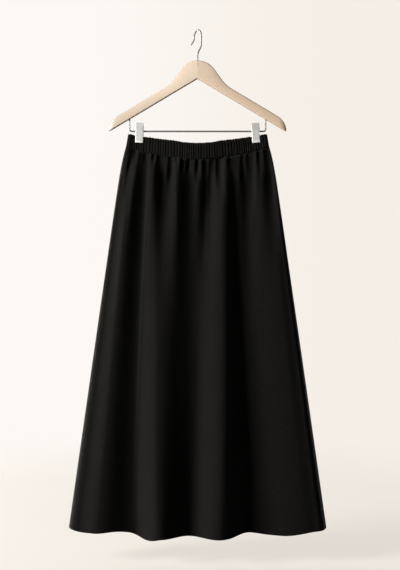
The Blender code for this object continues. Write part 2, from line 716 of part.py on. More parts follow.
def make_jaw(name, side, facing, ear_place):
    """A pressed plate, bent at the bar, with two ears that the bar runs through."""
    shape = bmesh.new()
    half = CLIP_WIDTH / 2.0
    inner = [(-half, facing * out, up) for out, up in JAW_PROFILE]
    outer = [(-half, facing * (out + CLIP_PLATE), up) for out, up in reversed(JAW_PROFILE)]
    profile = shape.faces.new([shape.verts.new(point) for point in inner + outer])
    pulled = bmesh.ops.extrude_face_region(shape, geom=[profile])
    moved = [item for item in pulled["geom"] if isinstance(item, bmesh.types.BMVert)]
    bmesh.ops.translate(shape, vec=(CLIP_WIDTH, 0.0, 0.0), verts=moved)
    jaw = object_from_bmesh(name, shape, SATIN_STEEL, CLIP_SHARP)
    bevel = jaw.modifiers.new("rounded edges", "BEVEL")
    bevel.width = CLIP_EDGE
    bevel.segments = 1
    bevel.limit_method = "ANGLE"
    bevel.angle_limit = math.radians(JAW_BEVEL_ABOVE)
    on_clip(jaw, side)
    for number, place in enumerate((-ear_place, ear_place)):
        ear = ear_object(f"{name} ear {number}", facing, place)
        on_clip(ear, side)
        join = jaw.modifiers.new("ear", "BOOLEAN")
        join.operation = "UNION"
        join.solver = "EXACT"
        join.object = ear
    bore = add_cutter(name + " bore", WIRE + GAP, CLIP_WIDTH * 2.0, (0.0, 0.0, 0.0), axis="X")
    bore.location = (side * CLIP_X, BAR_Y, BAR_Z)
    cut(jaw, bore)
    return jaw


def make_pad(name, side, facing):
    """The soft pad on a jaw's end, which presses on the band."""
    shape = bmesh.new()
    rib = RIB_HEIGHT * RIB_PRESSED * (1.0 + RIB_HEIGHT_VARIES)
    face = GAP / 2.0 + BAND_WALL + rib + GAP
    ends = sorted((facing * face, facing * (face + PAD_THICKNESS)))
    half = CLIP_WIDTH / 2.0
    block(shape, (-half, ends[0], PAD_BOTTOM), (half, ends[1], PAD_TOP))
    pad = object_from_bmesh(name, shape, PALE_RUBBER, CLIP_SHARP)
    bevel = pad.modifiers.new("rounded edges", "BEVEL")
    bevel.width = PAD_EDGE
    bevel.segments = 2
    on_clip(pad, side)
    return pad


def make_clip(word, side):
    for where, facing, ear_place in zip(("front", "back"), (-1, 1), EAR_PLACES):
        make_jaw(f"clip_{word}_{where}_jaw", side, facing, ear_place)
        make_pad(f"clip_{word}_{where}_pad", side, facing)


def make_hanger():
    bore = WIRE + GAP
    hook_floor = ARM_TOP - HOOK_BURIED - GAP
    hook_depth = HOOK_BURIED * CUTTER_REACH
    hook_bore = add_cutter(
        "hook bore", bore, hook_depth, (0.0, 0.0, hook_floor + hook_depth / 2.0))
    leg_ceiling = arm_underside(BAR_X) + BAR_BURIED + GAP
    leg_depth = BAR_BURIED * CUTTER_REACH
    for word, side in (("left", -1), ("right", 1)):
        leg_bore = add_cutter(
            word + " leg bore", bore, leg_depth,
            (side * BAR_X, BAR_Y, leg_ceiling - leg_depth / 2.0))
        make_arm("hanger_arm_" + word, side, hook_bore, leg_bore)
        make_clip(word, side)
    make_hook()
    make_bar()


def main():
    remove_scene_objects()
    make_hanger()
    make_band("waistband_front", -1, FRONT_DIP)
    make_band("waistband_back", 1, 0.0)
    make_panel("skirt_front", -1, FRONT_FOLDS, FRONT_CREASES)
    make_panel("skirt_back", 1, BACK_FOLDS, BACK_CREASES)


main()
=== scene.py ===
import math
from collections import namedtuple

import bpy
import numpy as np
from mathutils import Matrix, Vector


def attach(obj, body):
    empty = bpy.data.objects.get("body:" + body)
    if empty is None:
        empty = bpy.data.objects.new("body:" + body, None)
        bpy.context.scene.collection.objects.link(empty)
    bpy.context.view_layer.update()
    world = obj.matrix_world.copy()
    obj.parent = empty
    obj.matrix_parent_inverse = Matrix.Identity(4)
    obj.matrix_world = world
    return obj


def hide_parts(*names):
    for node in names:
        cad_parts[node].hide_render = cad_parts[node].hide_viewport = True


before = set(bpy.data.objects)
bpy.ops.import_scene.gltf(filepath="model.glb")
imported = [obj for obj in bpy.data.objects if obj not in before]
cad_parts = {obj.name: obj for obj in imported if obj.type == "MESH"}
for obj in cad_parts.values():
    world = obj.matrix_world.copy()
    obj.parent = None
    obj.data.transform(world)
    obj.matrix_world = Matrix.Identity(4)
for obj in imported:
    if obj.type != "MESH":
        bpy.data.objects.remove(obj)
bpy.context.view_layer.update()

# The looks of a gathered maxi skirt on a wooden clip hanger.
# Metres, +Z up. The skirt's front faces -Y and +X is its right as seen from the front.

BODY = "root"

# ---------------------------------------------------------------- hanger sizes
MILLIMETRE = 0.001
GAP = 0.0003                    # left between pieces that touch
WIRE = 0.0020                   # radius of the hook's and the bar's wire
WIRE_SIDES = 20
WIRE_DOME_RINGS = 4             # in each rounded end of a wire
WIRE_DOME_START = 0.4           # part of a ring's step that is left flat at the very end

ARM_REACH = 0.2224              # from the middle to an arm's tip
ARM_SLOPE = math.tan(math.radians(30.0))
ARM_SWEEP = 0.115               # how fast an arm runs back, for each metre outwards
ARM_THICKNESS = 0.0130
ARM_EDGE = 0.0034               # radius of an arm's long edges
ARM_EDGE_SHARE = 0.90           # the most of half a section that a rounded edge takes
ARM_EDGE_STEPS = 5
ARM_DEPTH = 0.0259              # height of an arm, measured straight down
ARM_TOP = -0.0735               # top of the hump, below the rail
ARM_CROTCH = -0.1190            # underside of the arms at the middle
ARM_TIP_BOTTOM = -0.2455
ARM_TIP_RADIUS = 0.0220
ARM_TIP_HEIGHT = 0.0020         # what is left of an arm's height at its very tip
ARM_TIP_THINS = 0.85            # and how much of its thickness is rounded away there
ARM_STATION = 0.0024            # between sections along an arm
ARM_TIP_STATIONS = 14
ARM_TIP_END = math.radians(86.0)
MITRE_SOFT = 0.0001             # how far the arms' mitred ends are eased
HUMP_RADIUS = 0.0520
HUMP_ANGLE = math.radians(54.0)
HUMP_BLEND = 0.0100             # how softly the flank meets the arm

HOOK_TURN = math.radians(-59.0)  # the hook's plane, turned from +X about its stem
HOOK_RADIUS = 0.0175            # of the wire's centre line
HOOK_STRAIGHT = 0.0180          # from the crown down to the S-bend
HOOK_SWAN_DROP = 0.0295         # height of the S-bend back to the stem
HOOK_TIP_RADIUS = 0.0090        # of the tip's bend outwards
HOOK_TIP_ANGLE = math.radians(60.0)
HOOK_TIP_LENGTH = 0.0130
HOOK_BURIED = 0.0160            # length of the stem inside the wood
HOOK_CROWN_STEPS = 40
BEND_STEPS = 14

BAR_X = 0.1700                  # the bar's legs, from the middle
BAR_Y = ARM_SWEEP * BAR_X       # the bar, the clips and the skirt hang in this plane
BAR_Z = -0.2470
BAR_BEND = 0.0060
BAR_BURIED = 0.0090             # length of a leg inside the wood

CLIP_X = 0.1450                 # a clip's middle, from the middle of the bar
CLIP_WIDTH = 0.0200
CLIP_TILT = math.radians(2.5)   # the jaws' lower ends lean outwards
CLIP_PLATE = 0.0012
CLIP_CORNER = 0.0026            # round corners of a jaw's tail
CLIP_FLANGE = 0.0006            # flat part of a jaw's turned-in sides
CLIP_EDGE = 0.0002              # how far a plate's edges are eased
JAW_SIDE_RADIUS = 0.0013
JAW_SIDE_STEPS = 5
JAW_FLAT_COLUMNS = 7
JAW_ROWS = 56
JAW_BEND = 0.0016               # how softly a jaw's side view bends
JAW_FLANGE_FROM = 0.0100        # its sides are turned in from this far below its tail
JAW_TAIL_BENT = 0.05            # what is turned in of its sides at its tail
JAW_THINNED = 0.92              # plate left by the press, for 1 before it
JAW_EASED_ABOVE = 40.0          # degrees between faces
EAR_PLACES = (0.0090, 0.0074)   # the front jaw's ears, then the back jaw's inside them
EAR_PLATE = 0.0010
EAR_HALF_HEIGHT = 0.0055
EAR_PAST_BAR = 0.0040
EAR_ROOT = 0.0060               # where the ears leave the jaw, from the bar's plane
EAR_STEPS = 10
EAR_ROUND = math.radians(90.0)
PAD_TOP = -0.0232               # heights from the bar's centre
PAD_BOTTOM = -0.0288
PAD_THICKNESS = 0.0034
PAD_EDGE = 0.0008
PAD_EDGE_STEPS = 3
PAD_END_DRAW = 0.90             # how fast a pad's long edges sharpen at its two ends

# A jaw's side view: how far its inner face stands from the bar's plane, and its
# height from the bar's centre, from the tail that is squeezed to the end by the pad.
JAW_PROFILE = (
    # stands out, height
    (0.0088, 0.0205),
    (0.0076, 0.0120),
    (0.0054, 0.0030),
    (0.0046, -0.0070),
    (0.0042, PAD_TOP + GAP),
)

# ----------------------------------------------------------------- skirt sizes
BAND_WALL = 0.0019              # cloth, elastic and cloth, between two ribs
PANEL_WALL = 0.0011

BAND_TOP_HALF = 0.1738          # half of the flat width at the band's top edge
SEAM_HALF = 0.1790              # and at the seam under the band
FLARE = 0.1423                  # how fast the sides run out, for each metre down
GATHER_DRAW = 0.0073            # how far the gathers draw the sides in at the seam
GATHER_DRAW_FADE = 0.0410

TOP_MIDDLE = -0.2755            # heights at the middle of the front, and how far
TOP_RISE = 0.0212               # each line climbs towards the side seams
TOP_POWER = 1.5
FRONT_DIP = 0.0052              # the front band sags this much more at its middle
FRONT_DIP_FLAT = 0.0140         # half of the level part of that sag
FRONT_DIP_HALF = 0.0600         # and half of its whole width
SEAM_MIDDLE = -0.3170
SEAM_RISE = 0.0320
SEAM_POWER = 1.7
HEM_MIDDLE = -1.2500
HEM_RISE = 0.0150
HEM_POWER = 2.3
SIDE_LENGTH = (SEAM_MIDDLE + SEAM_RISE) - (HEM_MIDDLE + HEM_RISE)

WAIST_OPEN = 0.0080             # half of the opening between front and back band
WAIST_ROUNDNESS = 1.5           # above 1, the opening closes softly towards the clips
PINCH_HALF = 0.0108             # half of the width that a clip presses flat
PINCH_FADE = 0.0040
PINCH_ENDS = 0.46               # part of the band's height down to which it is pressed
BAND_SIDE_RADIUS = 0.0042       # round fold of the band at the side seams
HEM_SIDE_RADIUS = 0.0240        # and of the skirt at its hem
FOLD_EASE = 0.80                # below 1, the folds open sooner under the waist
WAIST_BLEND = 0.070             # part of the length where the waist turns into folds
FOLD_ROUNDNESS = 1.90           # 1 makes a fold's trough sharp, 2 as round as its crest

PUFF_HEIGHT = 0.0100            # how far the cloth puffs out under the seam
PUFF_REACH = 0.24               # part of the length in which the puff dies away
PUFF_START = 0.005              # part of the length in which it swells
PUFF_SEWN = -0.12               # what is left of it at the seam, which draws the cloth in
TUCK_START = 0.005              # part of the length in which a tuck sinks
TUCK_SEWN = 0.10                # what the seam leaves of it
LEFT_WIDENS = 1.45              # how much wider a tuck's left side gets down to its end
RIGHT_WIDENS = 0.32             # and its right side
CREASE_ONSET = 1.0 / 6.0        # part of a crease's length in which it deepens
CREASE_SHARPNESS = 1.6          # 1 is a straight-sided crease, 2 one with soft shoulders

RIBS = 54                       # across one half of the waistband
RIB_HEIGHT = 0.0021
RIB_HEIGHT_VARIES = 0.25        # share by which it changes along the band
RIB_HEIGHT_SPEED = 2.3          # and how fast, in radians a rib
RIB_PUFF = 0.75                 # below 1, ribs are fuller and the valleys between sharper
RIB_SEWN = 0.60                 # what the band's two edges leave of a rib's height
RIB_START = 0.10                # part of the band's height in which it puffs up
RIB_PRESSED = 0.10              # what a clip leaves of a rib's height
RIB_SWAY = 0.30                 # how far a rib leans, in ribs
RIB_WAIST = 0.22                # how much thinner a rib is halfway down the band
RIB_LEAN_SPEED = 6.1            # how fast that lean changes, across and down the band
RIB_LEAN_DOWN = 2.6
RIB_PINCH_SWAY = 0.18           # how far up or down a rib's thin part lies
RIB_PINCH_SPEED = 12.9          # radians from one rib to the next
RIB_PINCH_LENGTH = 0.12         # how long it is, as a part of the band's height
RIB_INSIDE = 0.30               # height of the ribs inside, for 1 outside
SCALLOP = 0.0009                # how far the ribs notch the band's top edge

PANEL_COLUMNS = 400
PANEL_ROWS = 147                # a multiple of the inner skin's ratio
PANEL_ROW_POWER = 1.45          # rows lie closer under the gathers
BAND_ROWS = 30
COLUMNS_PER_RIB = 10
SKIN_RATIO = 3                  # rows of the outer skin for one of the inner skin
CAP_COLUMNS = 10                # round each side fold
EDGE_STEPS = 3                  # round the cloth's rim

HEM_TURN = 0.0200               # depth of the hem that is turned up inside
HEM_TURN_WALL = 0.0009          # what the turned-up cloth adds to the wall
HEM_SEW_LINE = 0.0180           # the hem's stitches, above its edge
HEM_SEW_SINKS = 0.0002          # how far they draw the cloth in
HEM_SEW_WIDTH = 0.0016          # and how far to each side
SEAM_SINKS = 0.0009             # how far the side seams pull the cloth in
SEAM_PULL_WIDTH = 0.0050
RIGHT_SEAM_TURN = math.radians(36.0)  # how far a side seam twists to the front, or to
LEFT_SEAM_TURN = math.radians(-10.0)  # the back where it is below 0
DRIFT_FROM = 0.20               # part of the length in which drift and twist set in
SEWN_UNDER = 0.0018             # how far a panel is sewn up under the band
LEAST_ROOM = 0.0006             # left between the inside and the bar's plane
HEM_STEP_HALF = 0.0010          # half of the step where the turned-up hem ends
BAND_LENGTH = 0.0420            # of cloth from the band's top edge to the seam

CLOTH_SHARP = 75.0              # degrees between faces, above which an edge is sharp
WOOD_SHARP = 40.0
WIRE_SHARP = 50.0
CLIP_SHARP = 30.0

STITCH = 0.0026                 # one stitch of the hem
STITCH_STEP = 0.0034            # from one stitch to the next
STITCH_THREAD = 0.00028         # radius of its thread
STITCH_BENDS = (0.0, 0.22, 0.78, 1.0)   # parts of a stitch's length, and how far it stands
STITCH_RISES = (-0.8, 0.4, 0.4, -0.8)   # off the cloth there, in radii of its thread

# The ribs are spaced unevenly, by two slow waves across the band.
Waver = namedtuple("Waver", "shift rib_speed start")
WAVERS = (Waver(0.35, 7.3, 0.6), Waver(0.20, 16.1, 2.0))

# Where the next tables come from: the back's rows, the hem's waves and the two side
# folds were placed one by one, apart from the widths of the back's tucks, which a script
# scaled from listed widths. The front's other folds, its creases and its tucks were
# listed first, but their values here are what a fitting program then made of
# them, and so are LEFT_WIDENS and RIGHT_WIDENS. Eight of the front's tucks, none longer
# than 62 mm, were added one by one after that.

# The standing folds of each panel from left to right. A place is -1 at the left
# side fold and 1 at the right one; a depth is how far the cloth stands out there.
Fold = namedtuple("Fold", "name waist_place hem_place waist_depth hem_depth")

FRONT_FOLDS = (
    Fold("left side", -1.000, -1.000, 0.0046, 0.0320),
    Fold("crest one", -0.900, -0.829, 0.0236, 0.0577),
    Fold("trough one", -0.738, -0.519, 0.0224, 0.0210),
    Fold("crest two", -0.499, -0.315, 0.0198, 0.0910),
    Fold("trough two", 0.092, -0.078, 0.0103, 0.0360),
    Fold("crest three", 0.339, 0.174, 0.0104, 0.0910),
    Fold("trough three", 0.508, 0.435, 0.0089, 0.0280),
    Fold("crest four", 0.930, 0.884, 0.0078, 0.0494),
    Fold("right side", 1.000, 1.000, 0.0046, 0.0450),
)

BACK_FOLDS = (
    Fold("left side", -1.000, -1.000, 0.0046, 0.0320),
    Fold("crest one", -0.840, -0.740, 0.0110, 0.0700),
    Fold("trough one", -0.630, -0.520, 0.0060, 0.0340),
    Fold("crest two", -0.400, -0.300, 0.0150, 0.0920),
    Fold("trough two", -0.160, -0.090, 0.0070, 0.0440),
    Fold("crest three", 0.100, 0.120, 0.0140, 0.0880),
    Fold("trough three", 0.360, 0.330, 0.0060, 0.0360),
    Fold("crest four", 0.600, 0.550, 0.0130, 0.0820),
    Fold("trough four", 0.780, 0.760, 0.0040, 0.0340),
    Fold("crest five", 0.900, 0.880, 0.0080, 0.0480),
    Fold("right side", 1.000, 1.000, 0.0046, 0.0450),
)

# Long creases: places as above at the crease's two ends, where it starts and ends as
# a part of the length, half of its width at each end, and its depth, which is below 0
# for a ridge. A sharp one is straight-sided, a soft one rounded.
Crease = namedtuple(
    "Crease", "name top_place low_place starts ends top_width low_width depth sharp")

FRONT_CREASES = (
    Crease("by the left side", -0.915, -0.905, 0.0, 0.26, 0.0090, 0.0203, 0.0148, False),
    Crease("edge of crest two", -0.655, -0.492, 0.0, 1.30, 0.0070, 0.0090, -0.0036, True),
    Crease("left of crest two", -0.473, -0.336, 0.0, 0.50, 0.0110, 0.0445, 0.0065, False),
    Crease("right of crest two", -0.367, -0.345, 0.0, 0.30, 0.0100, 0.0318, 0.0119, False),
    Crease("at the middle", 0.181, 0.119, 0.0, 0.42, 0.0110, 0.0381, 0.0082, False),
    Crease("left of crest four", 0.647, 0.548, 0.0, 0.30, 0.0100, 0.0313, 0.0092, False),
    Crease("by the right side", 0.871, 0.630, 0.0, 0.42, 0.0110, 0.0351, 0.0046, False),
)

BACK_CREASES = (
    Crease("by the left side", -0.930, -0.860, 0.0, 0.32, 0.0110, 0.0150, 0.0055, False),
    Crease("left of crest two", -0.520, -0.470, 0.0, 0.26, 0.0110, 0.0140, 0.0050, False),
    Crease("on crest two", -0.300, -0.200, 0.0, 0.46, 0.0120, 0.0180, 0.0070, False),
    Crease("at the middle", 0.020, 0.030, 0.0, 0.32, 0.0110, 0.0160, 0.0055, False),
    Crease("on crest four", 0.480, 0.440, 0.0, 0.42, 0.0120, 0.0170, 0.0065, False),
    Crease("edge of crest four", 0.560, 0.470, 0.0, 1.05, 0.0090, 0.0150, -0.0038, True),
    Crease("by the right side", 0.860, 0.800, 0.0, 0.28, 0.0110, 0.0140, 0.0050, False),
)

# The tucks that the gathering makes under the seam, from left to right, in
# millimetres: where each leaves the seam, how far it drifts sideways on its way
# down, how far down it runs, how deep it sinks, and its width at its top to the left
# and to the right of its deepest line. The cloth falls in steeply on one side of a
# tuck and swells out again slowly on the other.
Tuck = namedtuple("Tuck", "x drift reach depth left right")

FRONT_TUCKS = (
    Tuck(-155.2, -23.6, 172, 7.5, 15.5, 10.0),
    Tuck(-129.5, 0.5, 40, 6.0, 5.0, 6.5),
    Tuck(-126.0, -25.5, 600, 10.3, 27.0, 13.6),
    Tuck(-109.8, -0.6, 43, 9.5, 6.0, 10.0),
    Tuck(-97.0, 0.5, 38, 6.0, 5.0, 6.0),
    Tuck(-88.0, -8.0, 499, 16.3, 19.5, 38.1),
    Tuck(-65.7, 3.9, 74, 22.0, 9.0, 10.0),
    Tuck(-53.5, -0.5, 38, 7.5, 5.5, 7.0),
    Tuck(-37.5, -1.0, 62, 6.5, 5.0, 6.5),
    Tuck(-21.5, -1.0, 52, 7.5, 5.0, 7.0),
    Tuck(-20.2, 0.9, 600, 11.7, 26.6, 31.1),
    Tuck(-0.5, 2.6, 78, 15.5, 6.7, 10.2),
    Tuck(20.1, -10.7, 311, 12.3, 14.1, 10.7),
    Tuck(37.9, -32.0, 440, 16.6, 17.9, 35.0),
    Tuck(53.6, 8.0, 127, 21.0, 9.0, 10.0),
    Tuck(62.5, 0.5, 34, 6.0, 5.0, 6.0),
    Tuck(79.0, 0.5, 44, 6.0, 5.0, 6.0),
    Tuck(86.8, 40.0, 600, 6.3, 16.0, 61.9),
    Tuck(112.3, 0.1, 87, 7.6, 6.3, 10.0),
    Tuck(126.0, 0.5, 44, 5.0, 5.0, 6.5),
    Tuck(129.3, 1.2, 469, 11.9, 14.9, 24.8),
    Tuck(134.4, 0.8, 193, 22.0, 10.1, 10.0),
    Tuck(152.3, 8.1, 79, 13.3, 7.3, 11.4),
    Tuck(175.8, 23.6, 343, 19.5, 17.8, 14.8),
)

BACK_TUCKS = (
    Tuck(-166, -7, 70, 4.6, 6.6, 11.4),
    Tuck(-149, -18, 320, 11.0, 17.6, 30.8),
    Tuck(-133, -3, 50, 4.6, 6.6, 11.4),
    Tuck(-115, -4, 270, 10.5, 17.6, 30.8),
    Tuck(-99, -2, 46, 4.4, 6.6, 11.4),
    Tuck(-85, -3, 66, 5.0, 6.6, 11.4),
    Tuck(-61, -3, 430, 13.5, 22.4, 39.2),
    Tuck(-46, 0, 50, 4.4, 6.6, 11.4),
    Tuck(-28, -2, 260, 10.5, 17.6, 30.8),
    Tuck(-12, 0, 48, 4.4, 6.6, 11.4),
    Tuck(8, 2, 410, 13.5, 22.4, 39.2),
    Tuck(23, 1, 52, 4.6, 6.6, 11.4),
    Tuck(38, 0, 70, 5.0, 6.6, 11.4),
    Tuck(56, 2, 46, 4.4, 6.6, 11.4),
    Tuck(76, 5, 340, 12.5, 19.2, 33.6),
    Tuck(92, 2, 50, 4.6, 6.6, 11.4),
    Tuck(108, 4, 240, 10.5, 16.0, 28.0),
    Tuck(126, 3, 46, 4.4, 6.6, 11.4),
    Tuck(146, 12, 320, 11.0, 17.6, 30.8),
    Tuck(165, 6, 70, 4.8, 6.6, 11.4),
)

# Where the hem hangs lower or higher than its even curve, from left to right: the
# middle and half the width of each wave as places, and how far it drops, in
# millimetres, which is below 0 where the hem is lifted.
HemWave = namedtuple("HemWave", "place half_width drop")

FRONT_HEM_WAVES = (
    HemWave(-0.90, 0.10, 3.2),
    HemWave(-0.63, 0.20, -5.5),
    HemWave(-0.40, 0.13, 8.5),
    HemWave(0.385, 0.15, -5.4),
    HemWave(0.69, 0.22, 5.0),
)

BACK_HEM_WAVES = (
    HemWave(-0.82, 0.16, 3.5),
    HemWave(-0.58, 0.16, -4.5),
    HemWave(-0.26, 0.14, 6.0),
    HemWave(0.14, 0.20, -3.5),
    HemWave(0.48, 0.15, 5.5),
    HemWave(0.76, 0.14, -3.5),
)

# The skirt's two layers of cloth; dip is how much further the band's middle sags.
Layer = namedtuple("Layer", "word facing dip folds creases tucks hem_waves")
LAYERS = (
    Layer("front", -1.0, FRONT_DIP, FRONT_FOLDS, FRONT_CREASES, FRONT_TUCKS, FRONT_HEM_WAVES),
    Layer("back", 1.0, 0.0, BACK_FOLDS, BACK_CREASES, BACK_TUCKS, BACK_HEM_WAVES),
)

# The folds don't hang quite straight: slow sideways waves down the length.
Drift = namedtuple("Drift", "sideways waves_down waves_across start")
DRIFTS = (
    Drift(0.0060, 0.6, 1.1, 0.4),
    Drift(0.0014, 1.7, 2.2, 1.9),
)

# ------------------------------------------------------------- camera and light
CAMERA_PLACE = (0.0060, BAR_Y - 3.0, -0.6310)
CAMERA_LENS = 75.79
SENSOR = 36.0
FLOOR_Z = -1.3200
FLOOR_RADIUS = 2.6
FLOOR_FADES_FROM = 0.9
FLOOR_SIDES = 96

Lamp = namedtuple("Lamp", "name place power")
LAMPS = (
    Lamp("key", (-2.92, -1.69, 0.45), 225.0),
    Lamp("behind", (-2.7, 2.2, -0.4), 150.0),
    Lamp("right side", (2.2, 3.0, 0.1), 60.0),
)
LAMP_AIM = (0.0, 0.0, -0.7)
LAMP_SIZE = 1.3
LAMP_COLOUR = (1.0, 0.985, 0.96)
SURROUND = (0.980, 0.935, 0.895, 1.0)  # seen to the left, and to the right
SURROUND_RIGHT = (0.915, 0.855, 0.795, 1.0)
SURROUND_TURNS = (-0.10, 0.12)  # from where to where it changes, left to right
FILL = (1.0, 0.97, 0.94, 1.0)
FILL_STRENGTH = 0.045

# ------------------------------------------------------------------- finishes
# Streaks are given by their length and width. A gloss is the roughness where a finish
# is at its low colour, and where it is at its high one.
CREPE_GLOSS = (0.90, 0.80)
CREPE_RELIEF = 0.00045
CREPE_PATCH = 0.060             # size of its slow patches of tone
CREPE_PATCH_SHARE = 0.08        # what they add to its tone; its pebbles make the rest
THREAD = 0.0008                 # spacing of the crepe's threads
PEBBLE = 0.0034                 # size of its pebbles
PEBBLE_STEP = (0.30, 0.70)      # noise between which a pebble's tone rises
WEAVE_WANDER = 5.0              # radians by which the pebbles push the threads about
PATCH_STEP = (0.30, 0.70)       # and any patch's
FINE_PATCH = 0.004              # patches of tone on thread and pads

BLACK_LOW = (0.0017, 0.0016, 0.0014, 1.0)
BLACK_HIGH = (0.0081, 0.0077, 0.0063, 1.0)
BAND_HIGH = (0.0073, 0.0070, 0.0059, 1.0)
Crepe = namedtuple("Crepe", "name low high pebbling")
PANEL_CREPE = Crepe("black crepe", BLACK_LOW, BLACK_HIGH, 0.55)
BAND_CREPE = Crepe("black crepe, ruched", BLACK_LOW, BAND_HIGH, 0.45)

PAD_LOW = (0.82, 0.81, 0.79, 1.0)
PAD_HIGH = (0.88, 0.87, 0.86, 1.0)
Plain = namedtuple("Plain", "name specular low high gloss relief")
SEWING_THREAD = Plain("black sewing thread", 0.20, BLACK_LOW, BLACK_HIGH, (0.55, 0.70), 0.0)
PAD_PLASTIC = Plain("pale pad plastic", 0.45, PAD_LOW, PAD_HIGH, (0.42, 0.52), 0.00005)

# The two arms are one beech, painted in two tones as painted light and shade for how the key lamp
# falls on each side, and both darken outwards as painted shade towards their tips.
Beech = namedtuple("Beech", "name pale deep outer")
BEECHES = {
    "left": Beech("beech, left arm, with painted light", (0.785, 0.650, 0.515, 1.0), (0.715, 0.570, 0.438, 1.0),
                  (0.81, 0.81, 0.82, 1.0)),
    "right": Beech("beech, right arm, with painted light", (0.985, 0.785, 0.605, 1.0), (0.920, 0.715, 0.535, 1.0),
                   (1.0, 0.96, 0.93, 1.0)),
}
BEECH_GLOSS = (0.38, 0.50)
BEECH_COAT = (0.50, 0.35)       # lacquer on its pale and on its deep grain
BEECH_PATCH = 0.050
GRAIN = (0.060, 0.0026)
GRAIN_SHARE = 0.65              # what the grain makes of the tone; patches make the rest
GRAIN_STEP = (0.28, 0.72)       # noise between which a streak's tone rises
GRAIN_RELIEF = 0.00004
FLECKS = (0.0040, 0.0005)
FLECK_STEP = (0.58, 0.70)       # only the highest streaks are flecks
FLECK_SHARE = 0.07
FLECK_COLOUR = (0.30, 0.17, 0.09, 1.0)
OUTER_STEP = (0.02, 0.20)       # from the middle, where the painted shade towards the tips starts and is full
PAINTED_EDGE_SHADE = (0.60, 0.54, 0.50, 1.0)  # painted shade along the eased edges and on the arm's top and underside
PAINTED_SHADE_FACING = (0.45, 0.90)      # how squarely it looks front where the painted shade is full, and gone
EDGE_SHARE = 0.85

Metal = namedtuple("Metal", "name metallic low high gloss relief")
WIRE_STEEL = Metal(
    "bright wire", 0.65, (0.27, 0.26, 0.25, 1.0), (0.33, 0.32, 0.31, 1.0), (0.46, 0.56),
    0.000004)
CLIP_STEEL = Metal(
    "satin clip steel", 0.30, (0.80, 0.79, 0.77, 1.0), (0.88, 0.87, 0.85, 1.0), (0.40, 0.48),
    0.000006)
BRUSHING = (0.012, 0.0003)
METAL_PATCH = 0.010

FLOOR_LOW = (0.170, 0.165, 0.160, 1.0)
FLOOR_HIGH = (0.186, 0.181, 0.176, 1.0)
FLOOR_PATCH = 0.8
FLOOR_GLOW = (1.0, 0.928, 0.848, 1.0)  # keeps its shadow as pale as in a white studio
FLOOR_GLOW_STRENGTH = 0.660

# Sockets of the node that mixes two colours.
MIX_SHARE, MIX_LOW, MIX_HIGH, MIX_RESULT = 0, 6, 7, 2


# ----------------------------------------------------------------- small tools
def mix(start, end, part):
    """The value that lies this part of the way from start to end."""
    return start + (end - start) * part


def smooth(part):
    """0 to 1 with a level start and end, and held outside them."""
    held = np.clip(part, 0.0, 1.0)
    return held * held * (3.0 - 2.0 * held)


def add_piece(name, mesh, material):
    """Links a piece that hangs with the rest and takes its finish from a slot."""
    piece = bpy.data.objects.new(name, mesh)
    bpy.context.scene.collection.objects.link(piece)
    piece.data.materials.append(material)
    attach(piece, BODY)
    return piece


def closed_mesh(name, points, faces, sharp_angle, uvs=None):
    """A smooth-shaded mesh whose faces all look outwards."""
    points = np.asarray(points, dtype=float)
    if signed_volume(points, faces) < 0.0:
        faces = [face[::-1] for face in faces]
    mesh = bpy.data.meshes.new(name)
    mesh.from_pydata(points.tolist(), [], faces)
    if uvs is not None:
        corners = np.empty(len(mesh.loops), dtype=np.int64)
        mesh.loops.foreach_get("vertex_index", corners)
        layer = mesh.uv_layers.new(name="cloth")
        layer.data.foreach_set("uv", np.asarray(uvs, dtype=float)[corners].ravel())
    mesh.shade_smooth()
    mesh.set_sharp_from_angle(angle=math.radians(sharp_angle))
    return mesh


def signed_volume(points, faces):
    """Volume inside a closed mesh, which is below 0 where its faces look inwards."""
    total = 0.0
    by_size = {}
    for face in faces:
        by_size.setdefault(len(face), []).append(face)
    for size, group in by_size.items():
        corners = points[np.array(group)]
        for k in range(1, size - 1):
            turned = np.cross(corners[:, k], corners[:, k + 1])
            total += float(np.einsum("ij,ij->", corners[:, 0], turned))
    return total / 6.0


# ---------------------------------------------------------- the skirt's levels
def band_half(part):
    """Half of the band's width, part of the way from its top edge to the seam."""
    return mix(BAND_TOP_HALF, SEAM_HALF, part)


def panel_half(part):
    """Half of the skirt's width, part of the way from the seam to the hem."""
    drop = part * SIDE_LENGTH
    draw = GATHER_DRAW * (1.0 - np.exp(-drop / GATHER_DRAW_FADE))
    return SEAM_HALF + FLARE * drop + draw


def seam_height(across):
    """Height of the seam under the band."""
    return SEAM_MIDDLE + SEAM_RISE * np.abs(across) ** SEAM_POWER


def top_height(across, dip):
    """The band's top edge; dip is how far its middle sags below the usual line."""
    past_flat = np.abs(across) * BAND_TOP_HALF - FRONT_DIP_FLAT
    sag = dip * (1.0 - smooth(past_flat / (FRONT_DIP_HALF - FRONT_DIP_FLAT)))
    return TOP_MIDDLE + TOP_RISE * np.abs(across) ** TOP_POWER - sag


def hem_height(across, waves):
    """Height of the hem: its even curve, lowered or lifted by its waves."""
    height = HEM_MIDDLE + HEM_RISE * np.abs(across) ** HEM_POWER
    for wave in waves:
        near = 1.0 - np.abs(across - wave.place) / wave.half_width
        height = height - wave.drop * MILLIMETRE * smooth(near)
    return height


def side_radius(part):
    """Radius of the side fold, part of the way from the seam to the hem."""
    return mix(BAND_SIDE_RADIUS, HEM_SIDE_RADIUS, part ** FOLD_EASE)


# ----------------------------------------------------------- the skirt's depth
def waist_depth(x, half):
    """How far the waist stands out: open between the clips and pressed flat in them."""
    away = np.abs(x)
    inner_edge = CLIP_X - PINCH_HALF
    outer_edge = CLIP_X + PINCH_HALF
    open_part = np.clip(1.0 - (away / inner_edge) ** 2, 0.0, 1.0) ** WAIST_ROUNDNESS
    side_part = smooth((away - outer_edge) / (half - BAND_SIDE_RADIUS - outer_edge))
    return BAND_WALL + WAIST_OPEN * open_part + (BAND_SIDE_RADIUS - BAND_WALL) * side_part


